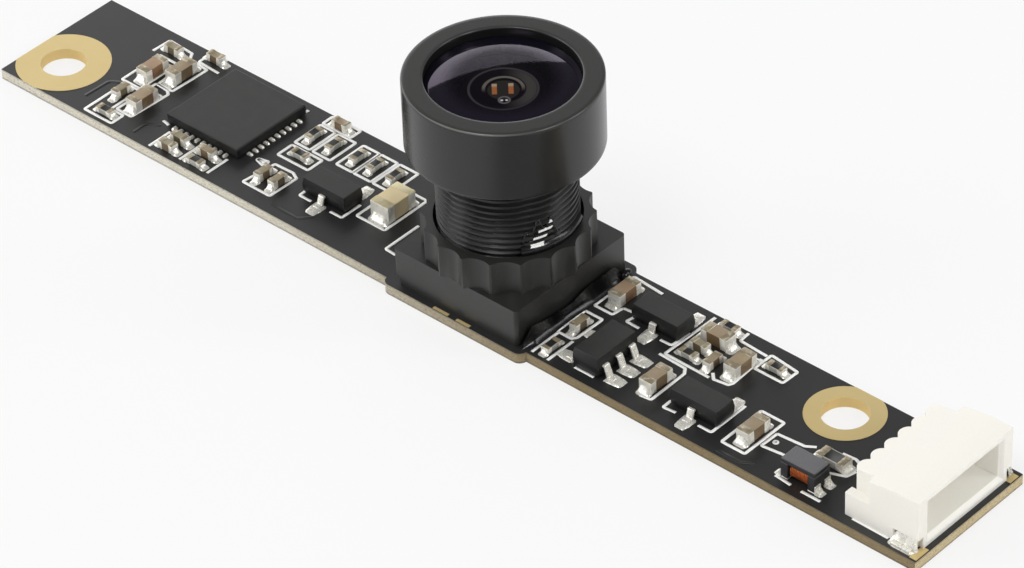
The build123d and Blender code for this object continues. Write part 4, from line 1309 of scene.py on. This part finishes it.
# %% Dress the chips
CHIP_SHADES = {
    "capacitor_left_1": 0.1, "capacitor_left_2": 0.95, "capacitor_left_3": 0.35,
    "capacitor_left_4": 0.05, "capacitor_left_5": 0.6, "capacitor_left_6": 0.2,
    "capacitor_controller_1": 0.0, "capacitor_controller_2": 0.05, "capacitor_controller_3": 0.4,
    "capacitor_middle_1": 0.4, "capacitor_pair": 0.15, "capacitor_right_1": 0.75,
    "capacitor_right_2": 0.2, "capacitor_right_3": 0.4, "capacitor_right_4": 0.5,
    "capacitor_right_5": 0.1, "capacitor_right_6": 0.25, "capacitor_right_7": 0.45,
    "capacitor_right_8": 0.4,
}
chip_nodes = []
for node in sorted(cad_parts):
    if node.startswith("capacitor"):
        bulk = node == "capacitor_bulk"
        finish, ends, slot = (
            (BULK, BULK_END, "bulk_ceramic") if bulk else (CERAMIC, CHIP_END, "capacitor_ceramic")
        )
        chips(node, "dipped_" + node, finish, ends, CHIP_SHADES.get(node, 0.5))
        chip_nodes.append(node)
    elif node.startswith("resistor"):
        chips(node, "glazed_" + node, GLAZED, CHIP_END)
        chip_nodes.append(node)
print("chip nodes dressed:", len(chip_nodes))

# %% [markdown]
# ## Solder
#
# Molten solder climbs the metal end of each part and runs out over its pad in a hollow curve. It is
# the same shape everywhere, only larger or smaller, so one fillet is drawn and Geometry
# Nodes set a turned and scaled copy at each end. Each point carries the copy's turn and size.


# %% Solder shapes
def skin(form, sheet):
    """Faces between the neighbouring lines of a sheet of points."""
    for line, after in zip(sheet, sheet[1:]):
        for row in range(len(line) - 1):
            form.faces.new((line[row], after[row], after[row + 1], line[row + 1]))


def solder_template(name, height_at, columns=8, rows=8):
    """A closed unit shape: 1 long in X, 1 wide in Y about zero, with its height from a rule."""
    form = bmesh.new()
    sheets = []
    for bottom in (False, True):
        sheet = []
        for column in range(columns + 1):
            along = column / columns
            line = []
            for row in range(rows + 1):
                across = row / rows * 2 - 1
                narrow = 1 - 0.25 * along ** 3
                height = 0 if bottom else height_at(along, across)
                line.append(form.verts.new((along, across / 2 * narrow, height)))
            sheet.append(line)
        sheets.append(sheet)
    for sheet in sheets:
        skin(form, sheet)
    bmesh.ops.remove_doubles(form, verts=form.verts, dist=1e-5)
    bmesh.ops.holes_fill(form, edges=[edge for edge in form.edges if edge.is_boundary])
    return bpy.data.objects.new(name, finished_mesh(form, name))


def fillet_height(along, across):
    """High against the part, hollow on the way down, and round at the sides."""
    side = max(0.0, 1 - abs(across) ** 5)
    return max(0.0, (1 - along) ** 2.1 * (0.35 + 0.65 * side)) if along < 1 and abs(across) < 1 else 0.0


def mound_height(along, across):
    """A low mound that is flat on top and falls away round its edge."""
    edge = max(abs(along * 2 - 1), abs(across))
    return (1 - edge ** 4) ** 0.7 if edge < 1 else 0.0


# %% The scattering tree
def scatter_form():
    """Sets a turned and scaled copy of a shape at each point."""
    form = Form("set_on_points", shape="Object")
    points = form.node("GeometryNodeMeshToPoints", sockets={"Mesh": form.given["Geometry"]})
    shape = form.node("GeometryNodeObjectInfo", sockets={"Object": form.given["shape"]}, output="Geometry")
    turn = form.vector(0.0, 0.0, form.attribute("turn"))
    copies = form.node(
        "GeometryNodeInstanceOnPoints",
        sockets={
            "Points": points,
            "Instance": shape,
            "Rotation": turn,
            "Scale": form.attribute("size", "FLOAT_VECTOR"),
        },
    )
    form.close(copies)
    return form


SCATTER = scatter_form()
print("scattering tree:", len(SCATTER.group.nodes), "nodes")


# %% Set copies of a shape on points
def scattered(name, shape, places, material, node=None):
    """One mesh of copies: each place is (x, y, z, turn in degrees, length, width, height)."""
    mesh = bpy.data.meshes.new(name)
    mesh.from_pydata([(x * MM, y * MM, z * MM) for x, y, z, *_ in places], [], [])
    mesh.attributes.new("turn", "FLOAT", "POINT").data.foreach_set(
        "value", [math.radians(place[3]) for place in places]
    )
    mesh.attributes.new("size", "FLOAT_VECTOR", "POINT").data.foreach_set(
        "vector", [measure * MM for place in places for measure in place[4:]]
    )
    piece = SCATTER.apply(add_piece(name, mesh, material), material, shape=shape)
    return hand_over(smooth(piece, 60), node)


# %% Solder at the ends of the chips
FILLET_REACH = 0.36
UNDER_METAL = 0.03
fillet = solder_template("fillet", fillet_height)
mound = solder_template("mound", mound_height)
fillet_places = []
for node in chip_nodes:
    for low, high in solids_of(node):
        middle, size, runs_x, length, width = lie_of(low, high)
        climb = min(0.62 * size.z, 0.5)
        reach = (FILLET_REACH if size.z > 0.4 else FILLET_REACH * 0.8) + UNDER_METAL
        for end, turn in ((1, 0 if runs_x else 90), (-1, 180 if runs_x else 270)):
            offset = end * (length / 2 - UNDER_METAL)
            x = middle.x + (offset if runs_x else 0)
            y = middle.y + (0 if runs_x else offset)
            fillet_places.append((x, y, BOARD_MM, turn, reach, width * 1.02, climb))
scattered("chip_solder", fillet, fillet_places, TIN)
print("solder fillets:", len(fillet_places))

# %% Solder under the leads
lead_places = []
for leads, bodies in (
    ("transistor_leads", ("transistor_left", "transistor_middle", "transistor_right")),
    ("regulator_leads", ("regulator",)),
):
    centres = [(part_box(body)[0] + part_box(body)[1]) / 2 / MM for body in bodies]
    for low, high in solids_of(leads):
        middle, _, runs_x, _, _ = lie_of(low, high)
        body = min(centres, key=lambda centre: (centre - middle).length)
        away = middle - body
        if runs_x:
            turn = 0 if away.x > 0 else 180
            foot = (high.x if away.x > 0 else low.x, middle.y)
        else:
            turn = 90 if away.y > 0 else 270
            foot = (middle.x, high.y if away.y > 0 else low.y)
        heading = Vector((math.cos(math.radians(turn)), math.sin(math.radians(turn))))
        start = Vector(foot) - heading * 0.5
        hidden = turn == 90 and middle.x < body.x + 0.2
        lead_places.append((start.x, start.y, BOARD_MM, turn, 0.66 if hidden else 1.0, 0.76, 0.1))
scattered("lead_solder", mound, lead_places, TIN)
print("solder under leads:", len(lead_places))

# %% Solder round the controller
pad_places = []
chip_low, chip_high = (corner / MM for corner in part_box("controller_chip"))
for low, high in solids_of("controller_pads"):
    middle = (low + high) / 2
    if high.x > chip_high.x or low.x < chip_low.x:
        turn = 0 if high.x > chip_high.x else 180
        edge = (chip_high.x if turn == 0 else chip_low.x, middle.y)
    else:
        turn = 90 if high.y > chip_high.y else 270
        edge = (middle.x, chip_high.y if turn == 90 else chip_low.y)
    pad_places.append((edge[0], edge[1], BOARD_MM, turn, 0.36, 0.2, 0.13))
scattered("controller_solder", mound, pad_places, TIN, "controller_pads")
print("controller pads:", len(pad_places))

# %% Solder at the choke's ends
choke_places = []
plate_low, plate_high = (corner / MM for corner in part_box("choke_plate"))
for low, high in solids_of("choke_terminals"):
    middle = (low + high) / 2
    outward, turn = (1, 0) if middle.x > (plate_low.x + plate_high.x) / 2 else (-1, 180)
    start = high.x if outward > 0 else low.x
    choke_places.append((start - outward * 0.04, middle.y, BOARD_MM, turn, 0.4, 0.5, 0.42))
scattered("choke_solder", fillet, choke_places, TIN)
print("choke fillets:", len(choke_places))

# %% Solder at the socket's front corners
LUMPS = ((0.0, 0.5, 1.5, 0.62), (0.35, 0.42, 0.7, 1.0), (-0.45, 0.45, 0.7, 0.45))
socket_low, socket_high = (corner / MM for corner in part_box("socket_housing"))
corner_places = []
for low, high in solids_of("socket_tabs"):
    middle = (low + high) / 2
    outward, turn = (1, 90) if middle.y > 0 else (-1, 270)
    side = socket_high.y if outward > 0 else socket_low.y
    for along, *sizes in LUMPS:
        corner_places.append((middle.x + along, side - outward * 0.12, BOARD_MM, turn, *sizes))
scattered("socket_corner_solder", fillet, corner_places, TIN)
print("socket corner fillets:", len(corner_places))

# %% [markdown]
# ## Bare gold pads
#
# A few pads on the board carry no solder: two small ones show under the holder's near side, and one
# shows at each corner beside the socket's mouth. Each is a thin slab on the lacquer.


# %% Gold slabs
def slabs(name, places, thickness, material):
    """Thin boxes on the board: each place is (x low, x high, y low, y high) from the lens axis."""
    form = bmesh.new()
    for x0, x1, y0, y1 in places:
        placed = Matrix.Translation((
            (LENS_X + (x0 + x1) / 2) * MM, (y0 + y1) / 2 * MM, BOARD_TOP + thickness / 2 * MM
        )) @ Matrix.Diagonal(((x1 - x0) * MM, (y1 - y0) * MM, thickness * MM, 1))
        bmesh.ops.create_cube(form, size=1, matrix=placed)
    print(name, len(places), "slabs")
    return hand_over(add_piece(name, finished_mesh(form, name), material))


slabs("gold_edge_pads", (
    (-1.18, -0.21, -4.37, -4.2),
    (0.32, 1.19, -4.37, -4.2),
    (27.75, 28.15, -3.9, -2.95),
    (27.75, 28.15, 3.1, 3.75),
), 0.02, GOLD)

# %% [markdown]
# ## The choke's turns
#
# The choke is wound with lacquered wire. A tree walks a rounded rectangle round the ferrite post
# while it moves along the post, and sweeps a round wire along that path.


# %% Winding tree
def winding_form():
    """A wire wound on a rectangular post that lies along X."""
    form = Form("wound_wire", centre="Vector", half_size="Vector", turns="Float", wire="Float")
    given = form.given
    steps = given["turns"] * 24
    line = form.node("GeometryNodeCurvePrimitiveLine", sockets={"Start": (0, 0, 0), "End": (1, 0, 0)})
    path = form.node("GeometryNodeResampleCurve", sockets={"Curve": line, "Count": steps})
    share = form.node("GeometryNodeInputIndex") / steps
    angle = share * given["turns"] * (2 * math.pi)
    sweep = [angle.cosine(), angle.sine()]
    rounded = [part.math("SIGN", part) * abs(part) ** 0.55 for part in sweep]
    unit = form.vector(share * 2 - 1, rounded[0], rounded[1])
    sized = form.node("ShaderNodeVectorMath", {"operation": "MULTIPLY"}, [unit, given["half_size"]])
    placed = form.node("ShaderNodeVectorMath", {"operation": "ADD"}, [sized, given["centre"]])
    wound = form.node("GeometryNodeSetPosition", sockets={"Geometry": path, "Position": placed})
    ring = form.node("GeometryNodeCurvePrimitiveCircle", sockets={"Resolution": 8, "Radius": given["wire"]})
    form.close(form.node(
        "GeometryNodeCurveToMesh", sockets={"Curve": wound, "Profile Curve": ring, "Fill Caps": True}
    ))
    return form


WIRE_RADIUS = 0.048 * MM
WIRE_TURNS = 11.0
wire_low, wire_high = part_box("choke_winding")
reach = (wire_high - wire_low) / 2 - Vector((1, 1, 1)) * WIRE_RADIUS * 1.05
winding = winding_form().apply(
    add_piece("choke_turns", bpy.data.meshes.new("choke_turns"), COPPER), COPPER,
    centre=(wire_low + wire_high) / 2, half_size=reach, turns=WIRE_TURNS, wire=WIRE_RADIUS,
)
hand_over(smooth(winding, 60), "choke_winding")
print("choke turns:", len(winding.data.polygons), "faces")

# %% [markdown]
# ## Wet black adhesive
#
# Glossy black adhesive locks the thread. It has run up the thread's near right side as a thin film
# that follows the ridges. The short white streaks of its shine, one a ridge, are painted highlights drawn
# there. The same adhesive fills the foot of the holder's right side in a hollow, uneven fillet.


# %% The adhesive's finish
def wet_adhesive():
    """Wet black gloss, with painted white highlight streaks on its ridges near the collar."""
    finish = Finish("wet_adhesive")
    angle = finish.y.math("ARCTAN2", finish.y, finish.x - LENS_X) * (180 / math.pi)
    height = finish.z - BOARD_MM
    ridge = abs((height / THREAD_PITCH - angle / 360 + 100).part() * 2 - 1)
    ragged = finish.noise(4, 3) * 6 - 3
    leaning = (height - 4.36) * 11.1 - 25
    # Painted highlights: short white streaks along the thread's ridges in the film.
    painted_streak_highlight = (
        (1 - finish.rise(abs(angle - leaning + ragged), 5.0, 6.0))
        * (1 - finish.rise(ridge, 0.3, 0.42))
        * finish.rise(height, 4.15, 4.2) * (1 - finish.rise(height, 5.6, 5.65))
        * (1 - finish.rise(finish.distance(LENS_X, 0), 3.8, 3.9))
    )
    ripple = finish.noise(2.5, 3)
    return finish.surface(
        base_color=finish.blend(painted_streak_highlight, tone(12, 12, 13), tone(250, 250, 246)),
        roughness=0.16 + 0.12 * ripple,
        normal=finish.bump(ripple, 0.25, 0.03),
    )


ADHESIVE = wet_adhesive()
print("adhesive:", ADHESIVE.name)


# %% The film on the thread
def film_on_thread(start, end, foot, rise_to, columns=48, rows=48):
    """A closed film round part of the thread, thick in its middle and thin at a ragged border."""
    form = bmesh.new()
    sheets = []
    for outer in (True, False):
        sheet = []
        for column in range(columns + 1):
            share = column / columns
            angle = math.radians(start + (end - start) * share)
            hump = math.sin(math.pi * share ** 0.8) ** 0.5 * (0.86 + 0.14 * math.sin(share * 21))
            line = []
            for row in range(rows + 1):
                up = row / rows
                height = foot + (rise_to - foot) * hump * up
                border = min(1.0, 8 * share, 8 * (1 - share), 10 * (1 - up))
                ridge = abs((height / THREAD_PITCH - angle / (2 * math.pi) + 100) % 1 * 2 - 1)
                thick = (0.235 - 0.06 * ridge) * border ** 0.35 if outer else 0.0
                radius = STEM_RADIUS - 0.2 + thick
                line.append(form.verts.new(LENS_CENTRE + MM * Vector((
                    radius * math.cos(angle), radius * math.sin(angle), height
                ))))
            sheet.append(line)
        sheets.append(sheet)
    for sheet in sheets:
        skin(form, sheet)
    bmesh.ops.remove_doubles(form, verts=form.verts, dist=0.0002 * MM)
    bmesh.ops.holes_fill(form, edges=[edge for edge in form.edges if edge.is_boundary])
    return finished_mesh(form, "adhesive_film")


COLLAR_TOP = (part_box("lens_holder")[1].z - BOARD_TOP) / MM
film_mesh = film_on_thread(-38, 2, COLLAR_TOP - 0.3, COLLAR_TOP + 2.0)
film = hand_over(smooth(add_piece("adhesive_film", film_mesh, ADHESIVE), 70))
dress("thread_adhesive", ADHESIVE)
print("adhesive film:", len(film.data.polygons), "faces")

# %% The fillet at the holder's foot
FILLET_PROFILE = ((0.0, 0.0), (0.0, 1.0), (0.1, 0.6), (0.28, 0.3), (0.58, 0.1), (1.0, 0.0))


def foot_fillet(x, start, end, steps=60):
    """A hollow bead along the holder's right face, uneven, with a drop at its far end."""
    form = bmesh.new()
    loops = []
    for step in range(steps + 1):
        share = step / steps
        y = start + (end - start) * share
        height = 0.78 + 0.16 * math.sin(share * 9 + 1) + 0.04 * math.sin(share * 23)
        width = 0.4 + 0.03 * math.sin(share * 11)
        taper = min(1.0, 9 * share + 0.1, 9 * (1 - share) + 0.1)
        loops.append([
            form.verts.new(MM * Vector((
                x + out * width * taper, y, BOARD_MM + up * height * taper
            )))
            for out, up in FILLET_PROFILE
        ])
    for first, second in zip(loops, loops[1:]):
        for place in range(len(FILLET_PROFILE)):
            after = (place + 1) % len(FILLET_PROFILE)
            form.faces.new((first[place], first[after], second[after], second[place]))
    form.faces.new(loops[0])
    form.faces.new(loops[-1])
    drop_place = Matrix.Translation(MM * Vector((x + 0.12, end - 0.1, BOARD_MM + 0.16)))
    drop_size = Matrix.Diagonal((0.24 * MM, 0.36 * MM, 0.2 * MM, 1))
    bmesh.ops.create_icosphere(form, subdivisions=3, radius=1, matrix=drop_place @ drop_size)
    return finished_mesh(form, "adhesive_fillet")


holder_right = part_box("lens_holder")[1].x / MM
bead_mesh = foot_fillet(holder_right - 0.01, -4.0, 3.6)
bead = hand_over(smooth(add_piece("adhesive_fillet", bead_mesh, ADHESIVE), 50))
print("adhesive fillet:", len(bead.data.polygons), "faces")

# %% [markdown]
# ## White ink
#
# The board carries thin white outlines round its parts, printed through a screen. Each outline is a
# path on the board, and a tree sweeps a flat strip along it after rounding its corners.
# Distances are in millimetres from the lens axis, along the board and across it.


# %% The ink's finish
def white_ink():
    """Screen-printed white, slightly uneven."""
    finish = Finish("white_ink")
    grain = finish.noise(10, 3)
    return finish.surface(
        base_color=finish.blend(grain, tone(244, 243, 239), tone(252, 252, 250)),
        roughness=0.5,
        normal=finish.bump(grain, 0.3, 0.01),
    )


INK = white_ink()
print("ink:", INK.name)


# %% The sweeping tree
def strip_form():
    """Sweeps a flat strip along each path, with rounded corners."""
    form = Form("printed_line", width="Float", thickness="Float", corner="Float")
    given = form.given
    path = form.node(
        "GeometryNodeFilletCurve",
        {"mode": "POLY"},
        {"Curve": given["Geometry"], "Radius": given["corner"], "Limit Radius": True, "Count": 4},
    )
    level = form.node("GeometryNodeSetCurveNormal", {"mode": "Z_UP"}, {"Curve": path})
    strip = form.node(
        "GeometryNodeCurvePrimitiveQuadrilateral",
        sockets={"Width": given["width"], "Height": given["thickness"]},
    )
    form.close(form.node(
        "GeometryNodeCurveToMesh",
        sockets={"Curve": level, "Profile Curve": strip, "Fill Caps": True},
    ))
    return form


STRIP = strip_form()
print("sweeping tree:", len(STRIP.group.nodes), "nodes")

# %% Print a set of paths
INK_WIDTH = 0.17
INK_CORNER = 0.08
INK_THICKNESS = 0.012
TRACK_WIDTH = 0.22
TRACK_CORNER = 0.3


def frame_of(x0, x1, y0, y1):
    """A closed rectangular outline."""
    return True, ((x0, y0), (x1, y0), (x1, y1), (x0, y1))


def closed_line(*points):
    """A closed outline of any shape."""
    return True, points


def open_line(*points):
    """A line with two loose ends."""
    return False, points


def printed(name, paths, width=INK_WIDTH, corner=INK_CORNER, finish=INK):
    """Prints a set of paths as one piece on the board."""
    curve = bpy.data.curves.new(name, "CURVE")
    curve.dimensions = "3D"
    for closed, points in paths:
        spline = curve.splines.new("POLY")
        spline.points.add(len(points) - 1)
        spline.use_cyclic_u = closed
        for knot, (x, y) in zip(spline.points, points):
            knot.co = ((LENS_X + x) * MM, y * MM, BOARD_TOP + INK_THICKNESS / 2 * MM, 1)
    piece = bpy.data.objects.new(name, curve)
    bpy.context.scene.collection.objects.link(piece)
    piece = STRIP.apply(piece, finish, width=width * MM, thickness=INK_THICKNESS * MM, corner=corner * MM)
    print(name, len(piece.data.polygons), "faces")
    return hand_over(piece)


# %% Outlines left of the controller and round it
printed("ink_left", (
    open_line((-26.85, 2.15), (-26.8, 3.35), (-25.1, 3.25), (-24.8, 2.8)),
    frame_of(-26.3, -25.0, -0.65, 2.1),
    closed_line((-24.57, 0.27), (-23.54, 0.24), (-23.46, 2.7), (-24.72, 2.82)),
    closed_line((-25.95, -0.8), (-24.9, -0.8), (-24.9, -2.85), (-24.0, -2.85), (-24.0, -3.7), (-25.95, -3.7)),
    closed_line((-24.67, -2.65), (-23.62, -2.66), (-23.5, -0.1), (-23.78, 0.12), (-24.66, 0.2)),
    open_line((-23.2, 3.92), (-24.3, 3.92), (-24.3, 2.95), (-22.8, 2.88)),
    open_line((-21.15, -3.83), (-21.15, -2.3)),
    open_line((-19.15, -3.66), (-19.15, -1.78)),
    open_line((-17.27, -3.59), (-17.27, -2.12)),
    open_line((-17.04, 3.08), (-16.97, 3.51)),
    open_line((-22.11, -1.84), (-21.62, -1.93)),
))

# %% Outlines between the controller and the lens
printed("ink_middle", (
    frame_of(-15.65, -13.7, 3.15, 3.9),
    frame_of(-15.65, -14.6, 1.1, 3.0),
    frame_of(-14.4, -13.2, 1.1, 3.0),
    frame_of(-15.6, -13.5, -0.2, 0.85),
    frame_of(-12.75, -11.65, 1.1, 3.1),
    frame_of(-11.55, -10.4, 1.1, 3.1),
    frame_of(-10.25, -9.0, 1.1, 3.1),
    closed_line((-15.38, -2.95), (-13.51, -2.95), (-13.46, -1.06), (-13.92, -0.83), (-15.13, -0.87)),
    closed_line((-16.35, -1.12), (-15.5, -0.92), (-15.5, -1.36)),
    open_line((-16.1, -1.12), (-15.5, -1.14)),
    open_line((-12.4, -1.5), (-12.4, -1.95), (-11.6, -1.95)),
    open_line((-10.3, -1.95), (-9.5, -1.95), (-9.5, -0.6)),
    frame_of(-9.05, -7.15, -1.35, 1.75),
    open_line((-6.1, 0.0), (-6.1, -2.4), (-5.4, -2.45)),
))

# %% Outlines right of the lens
printed("ink_right", (
    open_line((6.7, 3.55), (4.75, 3.7), (4.72, 0.8), (5.85, 0.8), (5.95, 1.5), (6.5, 1.58)),
    open_line((6.83, 1.41), (6.71, 0.84), (7.54, 0.82)),
    open_line((8.89, 0.81), (9.57, 0.83), (9.7, 2.11)),
    closed_line((4.65, 0.2), (5.75, 0.2), (5.73, -1.61), (5.55, -1.85), (4.65, -1.85)),
    open_line((4.75, -3.8), (4.75, -1.95)),
    open_line((5.75, -3.8), (5.75, -1.95)),
    open_line((7.1, -3.35), (8.3, -3.35)),
    open_line((9.54, -0.02), (11.21, -0.08), (11.44, -0.42), (11.48, -2.88), (10.85, -2.96)),
    open_line((12.26, -2.32), (12.26, -2.94), (12.99, -2.86)),
    open_line((14.4, -2.9), (15.2, -2.9), (15.2, -0.4)),
    open_line((9.84, 3.79), (9.74, 0.15), (12.52, 0.12)),
    open_line((11.84, 3.88), (11.89, 3.2), (13.63, 3.1)),
    open_line((12.44, 0.5), (12.78, 0.15), (13.58, 0.28), (13.68, 0.51), (13.56, 2.77)),
    closed_line((13.75, 3.3), (15.5, 3.1), (15.47, 2.03), (13.73, 2.02)),
    frame_of(16.0, 17.4, -3.1, -0.2),
    open_line((19.22, -1.95), (17.6, -2.15), (17.64, -1.02), (19.2, -0.89), (19.67, -0.59)),
    open_line((20.89, -0.18), (21.64, -0.11), (22.07, -0.28)),
    open_line((21.22, -1.68), (22.04, -1.34), (22.19, -0.8)),
    open_line((19.46, -3.36), (20.45, -3.45)),
    open_line((21.1, -3.49), (22.24, -3.49)),
    open_line((24.11, -3.46), (26.22, -3.48)),
    frame_of(17.9, 18.06, -1.61, -1.45),
))

# %% [markdown]
# ## Tracks under the lacquer
#
# A copper track under the lacquer shows only as a low ridge of the same black. It is printed in the
# same way as the ink, wider, with rounder corners, and in the board's own finish.

# %% Copper tracks that show through the lacquer
printed("buried_tracks", (
    open_line((-26.76, -2.86), (-26.7, -1.21), (-26.3, -0.95), (-25.86, -0.79)),
    open_line((-22.6, -3.5), (-22.6, -2.6), (-21.9, -2.2)),
    open_line((-13.0, -3.4), (-11.2, -3.4), (-10.6, -2.8)),
    open_line((16.2, -3.7), (17.6, -3.7), (18.2, -3.3)),
), TRACK_WIDTH, TRACK_CORNER, LAMINATE)
